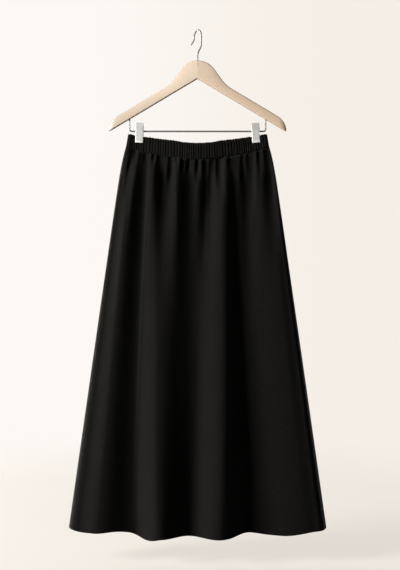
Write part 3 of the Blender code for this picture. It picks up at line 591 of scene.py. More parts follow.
def flank(part, rising):
    """0 to 1 across a fold's flank: quick by its trough and level by its crest."""
    held = np.clip(part, 0.0, 1.0)
    if rising:
        return np.sin(held * math.pi / 2.0) ** FOLD_ROUNDNESS
    return 1.0 - np.sin((1.0 - held) * math.pi / 2.0) ** FOLD_ROUNDNESS


def drifted(place, part):
    """Places moved a little sideways, so that no fold hangs quite straight."""
    shift = 0.0
    for drift in DRIFTS:
        turns = drift.waves_down * 2.0 * part + drift.waves_across * place
        shift = shift + drift.sideways * np.sin(math.pi * turns + drift.start)
    return place + shift * (1.0 - place ** 2) * smooth(part / DRIFT_FROM)


def fold_depth(folds, place, part):
    """Runs from each standing fold to the next, across the panel."""
    opened = part ** FOLD_EASE
    places = [mix(fold.waist_place, fold.hem_place, part) for fold in folds]
    depths = [mix(fold.waist_depth, fold.hem_depth, opened) for fold in folds]
    last = len(folds) - 2
    depth = depths[0]
    for k in range(last + 1):
        way = (place - places[k]) / (places[k + 1] - places[k])
        rising = folds[k + 1].hem_depth > folds[k].hem_depth
        shaped = smooth(way) if k in (0, last) else flank(way, rising)
        depth = depth + (depths[k + 1] - depths[k]) * shaped
    return depth


def crease_depth(creases, x, reach, part):
    """How far the long creases sink into the panel."""
    depth = 0.0
    for crease in creases:
        way = np.clip((part - crease.starts) / (crease.ends - crease.starts), 0.0, 1.0)
        middle = mix(crease.top_place, crease.low_place, way) * reach
        width = mix(crease.top_width, crease.low_width, way)
        near = np.clip(1.0 - np.abs(x - middle) / width, 0.0, 1.0)
        across = near ** CREASE_SHARPNESS if crease.sharp else smooth(near)
        along = smooth(way / CREASE_ONSET) * (1.0 - smooth(way))
        depth = depth + crease.depth * across * along
    return depth


def tuck_depth(tucks, x, part):
    """How far the tucks under the seam sink into the cloth that puffs between them."""
    down = part * SIDE_LENGTH
    depth = 0.0
    for tuck in tucks:
        way = np.clip(down / (tuck.reach * MILLIMETRE), 0.0, 1.0)
        middle = (tuck.x + tuck.drift * way) * MILLIMETRE
        left = tuck.left * MILLIMETRE * (1.0 + LEFT_WIDENS * way)
        right = tuck.right * MILLIMETRE * (1.0 + RIGHT_WIDENS * way)
        past = x - middle
        near = 1.0 - np.where(past < 0.0, -past / left, past / right)
        depth = depth + tuck.depth * MILLIMETRE * smooth(near) * (1.0 - smooth(way))
    return depth


def rib_phase(place):
    """Which rib a place lies in; a whole number is the valley between two."""
    def waver(at):
        """How many ribs the waves push a place along."""
        return sum(wave.shift * np.sin(wave.rib_speed * at + wave.start) for wave in WAVERS)
    half_way = (place + 1.0) / 2.0
    return RIBS * half_way + waver(place) - mix(waver(-1.0), waver(1.0), half_way)


def rib_rise(place, x, part):
    """The ruched ribs of the band, lower at its two stitched edges and in the clips."""
    lean = RIB_SWAY * np.sin(RIB_LEAN_SPEED * place + RIB_LEAN_DOWN * part)
    phase = rib_phase(place) + lean * (part - 0.5) * (1.0 - place ** 2)
    puff = np.abs(np.sin(math.pi * phase)) ** RIB_PUFF
    height = RIB_HEIGHT * (1.0 + RIB_HEIGHT_VARIES * np.sin(RIB_HEIGHT_SPEED * phase))
    pinch = 0.5 + RIB_PINCH_SWAY * np.sin(RIB_PINCH_SPEED * np.floor(phase))
    thinned = 1.0 - RIB_WAIST * np.exp(-((part - pinch) / RIB_PINCH_LENGTH) ** 2)
    along = mix(RIB_SEWN, 1.0, smooth(np.minimum(part, 1.0 - part) / RIB_START))
    away = np.abs(np.abs(x) - CLIP_X)
    beside_clip = smooth((away - PINCH_HALF) / PINCH_FADE)
    below_clip = smooth((part - PINCH_ENDS) / RIB_START)
    pressed = mix(RIB_PRESSED, 1.0, np.maximum(beside_clip, below_clip))
    return height * puff * thinned * along * pressed


# ------------------------------------------------------------ the cloth shells
def side_columns(count, cap_columns):
    """Columns across the cloth: a place, and how far each is round its side fold."""
    turned = np.arange(1, cap_columns + 1) / cap_columns
    middle = np.linspace(-1.0, 1.0, count + 1)
    place = np.concatenate((-np.ones(cap_columns), middle, np.ones(cap_columns)))
    turn = np.concatenate((-turned[::-1], np.zeros(count + 1), turned))
    return place, turn


def outward(points, facing):
    """Level unit normals of a grid of points, away from the skirt's inside."""
    across = np.gradient(points, axis=1)
    down = np.gradient(points, axis=0)
    normal = np.cross(across, down)
    normal[..., 2] = 0.0
    normal /= np.linalg.norm(normal, axis=2, keepdims=True)
    middle = points.shape[1] // 2
    return normal if normal[0, middle, 1] * facing > 0.0 else -normal


def cloth_uv(points, down):
    """Threads' own measure: metres across from the middle, and metres down."""
    steps = np.linalg.norm(np.diff(points, axis=1), axis=2)
    across = np.concatenate((np.zeros((len(points), 1)), np.cumsum(steps, axis=1)), axis=1)
    across -= across[:, points.shape[1] // 2, None]
    return np.stack((across, np.broadcast_to(down, across.shape)), axis=2)


def rim(last_outer, last_inner, beyond):
    """Points of the cloth's rounded edge, between its two skins."""
    middle = (last_outer + last_inner) / 2.0
    arm = last_outer - middle
    radius = np.linalg.norm(arm, axis=1, keepdims=True)
    rows = []
    for k in range(1, EDGE_STEPS + 1):
        angle = math.pi * k / (EDGE_STEPS + 1)
        over = radius * math.sin(angle) * np.array((0.0, 0.0, beyond))
        rows.append(middle + arm * math.cos(angle) + over)
    return np.array(rows)


def side_faces(ring_count, outer_count, column):
    """Faces that close a shell at one side, laddered between its two skins."""
    first = column * ring_count
    outer_line = list(range(outer_count + EDGE_STEPS // 2 + 1))
    inner_line = list(range(ring_count - 1, outer_line[-1], -1))
    faces = []
    i = 0
    for j in range(len(inner_line) - 1):
        reach = round((j + 1) * (len(outer_line) - 1) / (len(inner_line) - 1))
        lane = outer_line[i:reach + 1]
        faces.append([first + k for k in lane + [inner_line[j + 1], inner_line[j]]])
        i = reach
    return faces


def shell(name, outer, inner, outer_uv, inner_uv, beyond):
    """A closed shell between two skins whose rows run towards its rounded rim."""
    edge = rim(outer[-1], inner[-1], beyond)
    edge_uv = np.repeat(outer_uv[-1:], EDGE_STEPS, axis=0)
    ring = np.concatenate((outer, edge, inner[::-1])).transpose(1, 0, 2)
    ring_uv = np.concatenate((outer_uv, edge_uv, inner_uv[::-1])).transpose(1, 0, 2)
    columns, count = ring.shape[:2]
    here = np.arange(columns - 1)[:, None] * count + np.arange(count)[None, :]
    after = np.arange(columns - 1)[:, None] * count + (np.arange(count)[None, :] + 1) % count
    quads = np.stack((here, here + count, after + count, after), axis=2).reshape(-1, 4)
    faces = quads.tolist()
    faces += side_faces(count, len(outer), 0)
    faces += [face[::-1] for face in side_faces(count, len(outer), columns - 1)]
    return closed_mesh(name, ring.reshape(-1, 3), faces, CLOTH_SHARP, ring_uv.reshape(-1, 2))


def rows_to_hem(count, special):
    """Rows from the seam to the hem, close together at the gathers and the hem."""
    usual = np.linspace(0.0, 1.0, count + 1 - len(special)) ** PANEL_ROW_POWER
    return np.sort(np.concatenate((usual, 1.0 - np.array(special) / SIDE_LENGTH)))


def panel_depth(layer, place, turn, x, part):
    """How far a panel stands out: its folds and creases, and the tucks in its puff."""
    half = panel_half(part)
    folded = fold_depth(layer.folds, drifted(place, part), part)
    folded = folded - crease_depth(layer.creases, x, half - side_radius(part), part)
    depth = mix(waist_depth(x, half), folded, smooth(part / WAIST_BLEND))
    outwards = np.abs(np.cos(turn))
    puff = PUFF_HEIGHT * (1.0 - smooth(part / PUFF_REACH))
    puff = puff * mix(PUFF_SEWN, 1.0, smooth(part / PUFF_START))
    depth = depth + puff * outwards
    sunk = tuck_depth(layer.tucks, x, part) * mix(TUCK_SEWN, 1.0, smooth(part / TUCK_START))
    room = np.maximum(depth - PANEL_WALL - LEAST_ROOM, LEAST_ROOM)
    return depth - room * np.tanh(sunk * outwards / room)


def panel_skin(layer, parts):
    """Points of a panel's outer skin, and its level normals, for rows of parts."""
    place, turned = side_columns(PANEL_COLUMNS, CAP_COLUMNS)
    part = parts[:, None]
    half = panel_half(part)
    radius = side_radius(part)
    seam_turn = np.where(turned > 0.0, RIGHT_SEAM_TURN, LEFT_SEAM_TURN) * smooth(part)
    limit = math.pi / 2.0 + layer.facing * seam_turn - GAP / 2.0 / radius
    turn = turned * limit
    x = place * (half - radius) + radius * np.sin(turn)
    y = BAR_Y + layer.facing * panel_depth(layer, place, turn, x, part) * np.cos(turn)
    z = mix(seam_height(x / half), hem_height(x / half, layer.hem_waves), part)
    points = np.stack((x, y, z), axis=2)
    points[0, :, 2] += SEWN_UNDER
    normals = outward(points, layer.facing)
    from_seam = radius * (limit - np.abs(turn))
    sink = SEAM_SINKS * (1.0 - smooth(from_seam / SEAM_PULL_WIDTH)) * smooth(part / DRIFT_FROM)
    from_stitches = np.abs((1.0 - part) * SIDE_LENGTH - HEM_SEW_LINE)
    sink = sink + HEM_SEW_SINKS * (1.0 - smooth(from_stitches / HEM_SEW_WIDTH))
    return points - sink[..., None] * normals, normals


def make_panel(layer, material, thread):
    """A gathered panel with its hem turned up inside, and the hem's stitches."""
    near = HEM_STEP_HALF
    sew_rows = [HEM_SEW_LINE + k * HEM_SEW_WIDTH / 2.0 for k in (-2, -1, 0, 1, 2)]
    parts = rows_to_hem(PANEL_ROWS, [near] + sew_rows)
    outer, normals = panel_skin(layer, parts)

    hem_rows = [HEM_TURN + near, HEM_TURN - near, near]
    inner_parts = rows_to_hem(PANEL_ROWS // SKIN_RATIO, hem_rows)
    over_inner, inner_normals = panel_skin(layer, inner_parts)
    above_hem = (1.0 - inner_parts) * SIDE_LENGTH
    turned_up = smooth((HEM_TURN + near - above_hem) / (2.0 * near))
    wall = PANEL_WALL + HEM_TURN_WALL * turned_up
    inner = over_inner - wall[:, None, None] * inner_normals

    outer_uv = cloth_uv(outer, -parts[:, None] * SIDE_LENGTH)
    inner_uv = cloth_uv(inner, -inner_parts[:, None] * SIDE_LENGTH)
    name = f"gathered_panel_{layer.word}"
    mesh = shell(name, outer, inner, outer_uv, inner_uv, -1.0)
    panel = add_piece(name, mesh, material)

    sewn = name + "_hem_stitches"
    sew_row = int(np.argmin(np.abs((1.0 - parts) * SIDE_LENGTH - HEM_SEW_LINE)))
    mesh = stitch_row(sewn, outer[sew_row], normals[sew_row])
    stitches = add_piece(sewn, mesh, thread)
    return panel, stitches


def stitch_row(name, line, normals):
    """Separate stitches laid along a line on the cloth, joined into one mesh."""
    steps = np.linalg.norm(np.diff(line, axis=0), axis=1)
    along = np.concatenate(((0.0,), np.cumsum(steps)))
    points, faces = [], []
    for start in np.arange(STITCH_STEP, along[-1] - STITCH_STEP, STITCH_STEP):
        where = start + STITCH * np.array(STITCH_BENDS)
        centre = np.stack([np.interp(where, along, line[:, k]) for k in range(3)], axis=1)
        out = np.stack([np.interp(where, along, normals[:, k]) for k in range(3)], axis=1)
        centre += out * np.array(STITCH_RISES)[:, None] * STITCH_THREAD
        first = len(points)
        points.append(centre[0])
        for k in (1, 2):
            up = np.array((0.0, 0.0, 1.0))
            for away in (out[k], up, -out[k], -up):
                points.append(centre[k] + away * STITCH_THREAD)
        points.append(centre[3])
        for k in range(4):
            near, far = first + 1 + k, first + 1 + (k + 1) % 4
            faces.append((first, far, near))
            faces.append((near, far, far + 4, near + 4))
            faces.append((first + 9, near + 4, far + 4))
    return closed_mesh(name, points, faces, CLOTH_SHARP)


def make_band(layer, material):
    """Half of the waistband: a casing over elastic, ruched inside and out."""
    place, turned = side_columns(RIBS * COLUMNS_PER_RIB, CAP_COLUMNS)
    turn = turned * math.pi / 2.0
    parts = 1.0 - np.linspace(0.0, 1.0, BAND_ROWS + 1)
    inner_parts = parts[::SKIN_RATIO]

    def skin(rows, rib_share, wall):
        """One skin of the casing; wall is how far it lies inside the ribs' foot."""
        part = rows[:, None]
        half = band_half(part)
        reach = half - BAND_SIDE_RADIUS
        x = place * reach + BAND_SIDE_RADIUS * np.sin(turn)
        depth = waist_depth(x, half) * np.cos(turn)
        y = BAR_Y + layer.facing * (GAP / 2.0 + depth)
        ribs = rib_rise(place, x, part) * np.cos(turn)
        top = top_height(x / half, layer.dip) + SCALLOP * (ribs / RIB_HEIGHT - 0.5)
        z = mix(top, seam_height(x / half), part)
        points = np.stack((x, y, z), axis=2)
        points[0, :, 2] += GAP / 2.0
        normals = outward(points, layer.facing)
        return points + (rib_share * ribs[..., None] - wall) * normals

    outer = skin(parts, 1.0, 0.0)
    inner = skin(inner_parts, -RIB_INSIDE, BAND_WALL - RIB_INSIDE * RIB_HEIGHT)
    outer_uv = cloth_uv(outer, -parts[:, None] * BAND_LENGTH)
    inner_uv = cloth_uv(inner, -inner_parts[:, None] * BAND_LENGTH)
    name = f"waistband_{layer.word}_casing"
    mesh = shell(name, outer, inner, outer_uv, inner_uv, 1.0)
    return add_piece(name, mesh, material)


# ------------------------------------------------------------------ the hanger
def soft_max(a, b, blend):
    """The higher of two lines, with the corner between them filled."""
    way = min(1.0, max(0.0, (1.0 + (a - b) / blend) / 2.0))
    return mix(b, a, way) + blend * way * (1.0 - way)


def hump_height(x):
    """Top line of the hump: a round top, then a straight flank."""
    flank_x = HUMP_RADIUS * math.sin(HUMP_ANGLE)
    if x < flank_x:
        return ARM_TOP - HUMP_RADIUS + math.sqrt(HUMP_RADIUS ** 2 - x ** 2)
    flank_top = ARM_TOP - HUMP_RADIUS * (1.0 - math.cos(HUMP_ANGLE))
    return flank_top - math.tan(HUMP_ANGLE) * (x - flank_x)


def arm_underside(x):
    """Underside of an arm, which ends level at its tip."""
    return max(ARM_CROTCH - ARM_SLOPE * x, ARM_TIP_BOTTOM)


def arm_top(x):
    """Top line of an arm: the hump, the straight arm and the rounded tip."""
    straight = ARM_CROTCH + ARM_DEPTH - ARM_SLOPE * x
    past = max(0.0, x - (ARM_REACH - ARM_TIP_RADIUS))
    rounding = ARM_TIP_RADIUS - math.sqrt(ARM_TIP_RADIUS ** 2 - past ** 2)
    tip_floor = arm_underside(x) + ARM_TIP_HEIGHT
    return max(soft_max(hump_height(x), straight, HUMP_BLEND) - rounding, tip_floor)


def round_section(half_wide, low, high, radius, steps):
    """Ring (sideways, up) of a rectangle with round corners."""
    ring = []
    corners = ((1, high - radius), (-1, high - radius), (-1, low + radius), (1, low + radius))
    for quarter, (toward, up) in enumerate(corners):
        for step in range(steps + 1):
            angle = math.pi / 2.0 * (quarter + step / steps)
            sideways = toward * (half_wide - radius) + radius * math.cos(angle)
            ring.append((sideways, up + radius * math.sin(angle)))
    return ring


def arm_ring(x, side, shrunk):
    """Ring of an arm's section at one place along it, square to X."""
    tip_part = max(0.0, (x - (ARM_REACH - ARM_TIP_RADIUS)) / ARM_TIP_RADIUS)
    half_wide = ARM_THICKNESS / 2.0 * math.sqrt(1.0 - ARM_TIP_THINS * tip_part ** 3) - shrunk
    low, high = arm_underside(x) + shrunk, arm_top(x) - shrunk
    radius = min(ARM_EDGE, ARM_EDGE_SHARE * (high - low) / 2.0, ARM_EDGE_SHARE * half_wide)
    section = round_section(half_wide, low, high, radius, ARM_EDGE_STEPS)
    return [(side * x, ARM_SWEEP * x + sideways, up) for sideways, up in section]


def loft(rings):
    """Points and faces of a closed skin over rings of points, flat at each end."""
    count = len(rings[0])
    points = [point for ring in rings for point in ring]
    faces = []
    for r in range(len(rings) - 1):
        for k in range(count):
            here, follow = r * count + k, r * count + (k + 1) % count
            faces.append((here, follow, follow + count, here + count))
    faces.append(tuple(range(count - 1, -1, -1)))
    faces.append(tuple(range((len(rings) - 1) * count, len(rings) * count)))
    return points, faces


def make_arm(word, side, material):
    """One wooden arm, from its mitred end over the hump to its round tip."""
    straight_end = ARM_REACH - ARM_TIP_RADIUS
    start = GAP / 2.0
    count = int(straight_end / ARM_STATION)
    places = [start, start + MITRE_SOFT]
    places += [start + (straight_end - start) * k / count for k in range(1, count)]
    for k in range(ARM_TIP_STATIONS + 1):
        angle = ARM_TIP_END * k / ARM_TIP_STATIONS
        places.append(straight_end + ARM_TIP_RADIUS * math.sin(angle))
    points, faces = loft([arm_ring(x, side, MITRE_SOFT if x == start else 0.0) for x in places])
    mesh = closed_mesh("arm_" + word, points, faces, WOOD_SHARP)
    arm = add_piece(f"wooden_arm_{word}", mesh, material)
    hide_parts(f"hanger_arm_{word}")


def wire_mesh(name, line):
    """A round wire along a line of points, with domed ends."""
    line = [Vector(point) for point in line]
    dome = []
    for k in range(WIRE_DOME_RINGS):
        angle = math.pi / 2.0 * (k + WIRE_DOME_START) / WIRE_DOME_RINGS
        dome.append((1.0 - math.cos(angle), math.sin(angle)))
    turns = [2.0 * math.pi * k / WIRE_SIDES for k in range(WIRE_SIDES)]
    rings = []
    sideways = (line[1] - line[0]).orthogonal().normalized()
    last = len(line) - 1
    for k, point in enumerate(line):
        way = (line[min(k + 1, last)] - line[max(k - 1, 0)]).normalized()
        sideways = (sideways - way * sideways.dot(way)).normalized()
        other = way.cross(sideways)
        here = [(0.0, 1.0)]
        if k == 0:
            here = dome
        elif k == last:
            here = [(-along, size) for along, size in reversed(dome)]
        for along, size in here:
            centre = point + way * WIRE * along
            rings.append([
                centre + WIRE * size * (math.cos(turn) * sideways + math.sin(turn) * other)
                for turn in turns])
    points, faces = loft(rings)
    return closed_mesh(name, points, faces, WIRE_SHARP)


def arc(centre, radius, start, end, steps):
    """Points (across, up) along an arc, both ends included; angles in radians."""
    points = []
    for k in range(steps + 1):
        angle = mix(start, end, k / steps)
        across = centre[0] + radius * math.cos(angle)
        points.append((across, centre[1] + radius * math.sin(angle)))
    return points


def hook_line():
    """The hook's centre line in its own plane, from its free tip to the stem's end."""
    crown = (0.0, WIRE - HOOK_RADIUS)
    back_bend = (-HOOK_RADIUS - HOOK_TIP_RADIUS, crown[1])
    outwards = arc(back_bend, HOOK_TIP_RADIUS, -HOOK_TIP_ANGLE, 0.0, BEND_STEPS)
    tip_x = outwards[0][0] - HOOK_TIP_LENGTH * math.sin(HOOK_TIP_ANGLE)
    tip_z = outwards[0][1] - HOOK_TIP_LENGTH * math.cos(HOOK_TIP_ANGLE)
    over = arc(crown, HOOK_RADIUS, math.pi, 0.0, HOOK_CROWN_STEPS)

    swan_angle = 2.0 * math.atan(HOOK_RADIUS / HOOK_SWAN_DROP)
    swan_radius = HOOK_SWAN_DROP / (2.0 * math.sin(swan_angle))
    swan_top = crown[1] - HOOK_STRAIGHT
    swan_low = swan_top - HOOK_SWAN_DROP
    upper_bend = (HOOK_RADIUS - swan_radius, swan_top)
    lower_bend = (swan_radius, swan_low)
    upper = arc(upper_bend, swan_radius, 0.0, -swan_angle, BEND_STEPS)
    lower = arc(lower_bend, swan_radius, math.pi - swan_angle, math.pi, BEND_STEPS)
    stem_end = (0.0, ARM_TOP - HOOK_BURIED)
    return [(tip_x, tip_z)] + outwards[:-1] + over + upper + lower[1:] + [stem_end]


def make_hook(material):
    """The hook: a wire in a plane that is turned about its stem."""
    turn = Matrix.Rotation(HOOK_TURN, 3, "Z")
    line = [turn @ Vector((across, 0.0, up)) for across, up in hook_line()]
    hook = add_piece("wire_hook", wire_mesh("wire_hook", line), material)
    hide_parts("hanger_hook")


def make_bar(material):
    """The bar: a wire with a leg bent up into each arm."""
    leg_top = arm_underside(BAR_X) + BAR_BURIED
    bend_x = BAR_X - BAR_BEND
    bend_z = BAR_Z + BAR_BEND
    down = 1.5 * math.pi
    left = arc((-bend_x, bend_z), BAR_BEND, math.pi, down, BEND_STEPS)
    right = arc((bend_x, bend_z), BAR_BEND, down, 2.0 * math.pi, BEND_STEPS)
    flat_line = [(-BAR_X, leg_top)] + left + right + [(BAR_X, leg_top)]
    line = [(across, BAR_Y, up) for across, up in flat_line]
    bar = add_piece("wire_bar", wire_mesh("wire_bar", line), material)
    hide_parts("trouser_bar")


# ------------------------------------------------------------------- the clips
def on_clip(points, side):
    """Moves points from a clip's own measure to its place on the bar."""
    tilt = Matrix.Rotation(-side * CLIP_TILT, 3, "Y")
    home = Vector((side * CLIP_X, BAR_Y, BAR_Z))
    return [tuple(tilt @ Vector(point) + home) for point in points]


def jaw_stands_out(height):
    """How far a jaw's inner face is from the bar's plane, with its bends rounded."""
    heights = [up for _, up in reversed(JAW_PROFILE)]
    outs = [out for out, _ in reversed(JAW_PROFILE)]
    near = (-1.0, -0.5, 0.0, 0.5, 1.0)
    return sum(np.interp(height + JAW_BEND * n, heights, outs) for n in near) / len(near)


def jaw_section(half):
    """Section across a jaw: sideways, inwards, and how far its outside is turned."""
    flat_half = half - JAW_SIDE_RADIUS
    right = []
    for k in range(1, JAW_SIDE_STEPS + 1):
        turn = math.pi / 2.0 * k / JAW_SIDE_STEPS
        sideways = flat_half + JAW_SIDE_RADIUS * math.sin(turn)
        right.append((sideways, JAW_SIDE_RADIUS * (1.0 - math.cos(turn)), turn))
    right.append((half, JAW_SIDE_RADIUS + CLIP_FLANGE, math.pi / 2.0))
    left = [(-sideways, inwards, -turn) for sideways, inwards, turn in reversed(right)]
    flat = np.linspace(-flat_half, flat_half, JAW_FLAT_COLUMNS)
    return left + [(sideways, 0.0, 0.0) for sideways in flat] + right


def make_jaw(word, side, where, facing, ear_place, material):
    """A pressed plate with turned-in sides and two ears that the bar runs through."""
    top, bottom = JAW_PROFILE[0][1], JAW_PROFILE[-1][1]
    outer, normals = [], []
    for height in np.linspace(top, bottom, JAW_ROWS + 1):
        from_top = min(top - height, CLIP_CORNER)
        corner = math.sqrt(CLIP_CORNER ** 2 - (CLIP_CORNER - from_top) ** 2)
        section = jaw_section(CLIP_WIDTH / 2.0 - CLIP_CORNER + corner)
        out = jaw_stands_out(height) + CLIP_PLATE
        bent = mix(JAW_TAIL_BENT, 1.0, smooth((top - height) / JAW_FLANGE_FROM))
        outer.append([(x, facing * (out - inwards * bent), height) for x, inwards, _ in section])
        turns = [turn * bent for _, _, turn in section]
        normals.append([(math.sin(turn), facing * math.cos(turn), 0.0) for turn in turns])
    outer = np.array(outer)
    inner = outer - CLIP_PLATE * JAW_THINNED * np.array(normals)
    points, faces = plate_skin(outer, inner)
    for place in (-ear_place, ear_place):
        ear_points, ear_faces = ear_skin(place, facing)
        faces += [tuple(k + len(points) for k in face) for face in ear_faces]
        points += ear_points
    name = f"clip_jaw_{word}_{where}"
    mesh = closed_mesh(name, on_clip(points, side), faces, CLIP_SHARP)
    jaw = add_piece(name, mesh, material)
    bevel = jaw.modifiers.new("eased edges", "BEVEL")
    bevel.width = CLIP_EDGE
    bevel.segments = 2
    bevel.limit_method = "ANGLE"
    bevel.angle_limit = math.radians(JAW_EASED_ABOVE)
    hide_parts(f"clip_{word}_{where}_jaw")


def plate_skin(outer, inner):
    """Points and faces of a plate between two grids of points."""
    rows, columns = outer.shape[:2]
    points = [tuple(p) for p in outer.reshape(-1, 3)] + [tuple(p) for p in inner.reshape(-1, 3)]
    back = rows * columns
    faces = []
    for r in range(rows - 1):
        for c in range(columns - 1):
            k = r * columns + c
            face = (k, k + 1, k + 1 + columns, k + columns)
            faces.append(face)
            faces.append(tuple(back + corner for corner in reversed(face)))
    border = list(range(columns))
    border += [r * columns + columns - 1 for r in range(1, rows)]
    border += [(rows - 1) * columns + c for c in range(columns - 2, -1, -1)]
    border += [r * columns for r in range(rows - 2, 0, -1)]
    for here, after in zip(border, border[1:] + border[:1]):
        faces.append((after, here, here + back, after + back))
    return points, faces


def ear_skin(place, facing):
    """An ear: a small plate from the jaw that is round where the bar runs through it."""
    outline = [(facing * EAR_ROOT, EAR_HALF_HEIGHT)]
    for k in range(EAR_STEPS + 1):
        angle = EAR_ROUND * (1.0 - 2.0 * k / EAR_STEPS)
        along = -facing * EAR_PAST_BAR * math.cos(angle)
        outline.append((along, EAR_PAST_BAR * math.sin(angle)))
    outline.append((facing * EAR_ROOT, -EAR_HALF_HEIGHT))
    rings = [[(place + half, along, up) for along, up in outline]
             for half in (-EAR_PLATE / 2.0, EAR_PLATE / 2.0)]
    return loft(rings)


def make_pad(word, side, where, facing, material):
    """The soft pad on a jaw's end, which presses on the band."""
    rib = RIB_HEIGHT * RIB_PRESSED * (1.0 + RIB_HEIGHT_VARIES)
    middle = GAP / 2.0 + BAND_WALL + rib + GAP + PAD_THICKNESS / 2.0
    half = CLIP_WIDTH / 2.0
    ends = []
    for k in range(PAD_EDGE_STEPS + 1):
        angle = math.pi / 2.0 * k / PAD_EDGE_STEPS
        ends.append((PAD_EDGE * (1.0 - math.cos(angle)), PAD_EDGE * (1.0 - math.sin(angle))))
    stations = [(-half + along, shrunk) for along, shrunk in ends]
    stations += [(half - along, shrunk) for along, shrunk in reversed(ends)]
    rings = []
    for x, shrunk in stations:
        section = round_section(
            PAD_THICKNESS / 2.0 - shrunk, PAD_BOTTOM + shrunk, PAD_TOP - shrunk,
            PAD_EDGE - PAD_END_DRAW * shrunk, PAD_EDGE_STEPS)
        rings.append([(x, facing * middle + sideways, up) for sideways, up in section])
    points, faces = loft(rings)
    name = f"clip_pad_{word}_{where}"
    mesh = closed_mesh(name, on_clip(points, side), faces, CLIP_SHARP)
    pad = add_piece(name, mesh, material)
    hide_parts(f"clip_{word}_{where}_pad")


# ------------------------------------------------------------------- materials
def add_node(tree, kind, inputs=(), **settings):
    """A node with its settings, and values or other nodes' outputs on its inputs."""
    node = tree.nodes.new(kind)
    for setting, value in settings.items():
        setattr(node, setting, value)
    for key, value in dict(inputs).items():
        if isinstance(value, bpy.types.NodeSocket):
            tree.links.new(value, node.inputs[key])
        else:
            node.inputs[key].default_value = value
    return node


def calculate(tree, operation, *values):
    """The output of a Math node on values or other nodes' outputs."""
    return add_node(tree, "ShaderNodeMath", enumerate(values), operation=operation).outputs[0]


def mix_colours(tree, share, low, high, blend="MIX"):
    """From the low colour to the high one, or to the two multiplied."""
    inputs = {MIX_SHARE: share, MIX_LOW: low, MIX_HIGH: high}
    node = add_node(tree, "ShaderNodeMix", inputs, data_type="RGBA", blend_type=blend)
    return node.outputs[MIX_RESULT]


def between(tree, value, start, end, low=0.0, high=1.0):
    """Low before start, high past end, and a soft step between."""
    inputs = {"Value": value, "From Min": start, "From Max": end, "To Min": low, "To Max": high}
    node = add_node(tree, "ShaderNodeMapRange", inputs, interpolation_type="SMOOTHSTEP")
    return node.outputs[0]


def noise(tree, place, scale, detail, roughness=0.5):
    """Smooth uneven blobs, 1 / scale in size."""
    inputs = {"Vector": place, "Scale": scale, "Detail": detail, "Roughness": roughness}
    return add_node(tree, "ShaderNodeTexNoise", inputs).outputs["Fac"]


def start_group(name, takes, gives):
    """An empty node group with its named inputs and outputs."""
    group = bpy.data.node_groups.new(name, "ShaderNodeTree")
    for word, kind in takes:
        group.interface.new_socket(word, in_out="INPUT", socket_type="NodeSocket" + kind)
    for word, kind in gives:
        group.interface.new_socket(word, in_out="OUTPUT", socket_type="NodeSocket" + kind)
    return group, group.nodes.new("NodeGroupInput"), group.nodes.new("NodeGroupOutput")


def crepe_weave_group():
    """Fine threads each way under the crepe's small uneven pebbles."""
    takes = (("Place", "Vector"), ("Thread", "Float"), ("Pebble", "Float"), ("Pebbling", "Float"))
    gives = (("Height", "Float"), ("Tone", "Float"))
    group, given, result = start_group("crepe weave", takes, gives)
    place, thread, pebble, pebbling = given.outputs[:4]
    axes = add_node(group, "ShaderNodeSeparateXYZ", {0: place})
    turns = calculate(group, "DIVIDE", 2.0 * math.pi, thread)
    pebble_scale = calculate(group, "DIVIDE", 1.0, pebble)
    slow = noise(group, place, pebble_scale, detail=1.0)
    wander = calculate(group, "MULTIPLY", slow, WEAVE_WANDER)
    waves = []
    for axis in axes.outputs[:2]:
        angle = calculate(group, "ADD", calculate(group, "MULTIPLY", axis, turns), wander)
        waves.append(calculate(group, "SINE", angle))
    weave = calculate(group, "MULTIPLY_ADD", calculate(group, "MULTIPLY", *waves), 0.5, 0.5)
    fine = noise(group, place, pebble_scale, detail=2.5, roughness=0.6)
    pebbles = between(group, fine, *PEBBLE_STEP)
    part = calculate(group, "MULTIPLY", calculate(group, "SUBTRACT", pebbles, weave), pebbling)
    height = calculate(group, "ADD", weave, part)
    group.links.new(height, result.inputs["Height"])
    group.links.new(pebbles, result.inputs["Tone"])
    return group


def mottle_group():
    """Slow, soft patches of lighter and darker tone."""
    takes = (("Place", "Vector"), ("Patch", "Float"))
    group, given, result = start_group("soft mottle", takes, (("Tone", "Float"),))
    scale = calculate(group, "DIVIDE", 1.0, given.outputs["Patch"])
    patches = noise(group, given.outputs["Place"], scale, detail=3.0)
    group.links.new(between(group, patches, *PATCH_STEP), result.inputs["Tone"])
    return group


def stretched(tree, place, along, across):
    """A place measured in streaks that are long along X and narrow across it."""
    size = add_node(tree, "ShaderNodeCombineXYZ", {0: along, 1: across, 2: across}).outputs[0]
    inputs = {0: place, 1: size}
    return add_node(tree, "ShaderNodeVectorMath", inputs, operation="DIVIDE").outputs[0]


def streaks_group():
    """Uneven lines along X: a wood's grain, or the fine marks of brushing on metal."""
    takes = (("Place", "Vector"), ("Length", "Float"), ("Width", "Float"))
    group, given, result = start_group("streaks", takes, (("Tone", "Float"), ("Line", "Float")))
    place, length, width = given.outputs[:3]
    along = stretched(group, place, length, width)
    fibres = noise(group, along, 1.0, detail=3.0, roughness=0.55)
    group.links.new(between(group, fibres, *GRAIN_STEP), result.inputs["Tone"])
    group.links.new(between(group, fibres, *FLECK_STEP), result.inputs["Line"])
    return group


def start_material(name, constants):
    """A material with one shader whose unchanging sockets are set by name."""
    material = bpy.data.materials.new(name)
    material.use_nodes = True
    shader = material.node_tree.nodes["Principled BSDF"]
    for socket, value in constants.items():
        shader.inputs[socket].default_value = value
    return material, material.node_tree, shader


def place_group(tree, group, **values):
    """Places a shared effect in a material, with this material's own values."""
    return add_node(tree, "ShaderNodeGroup", values, node_tree=group)


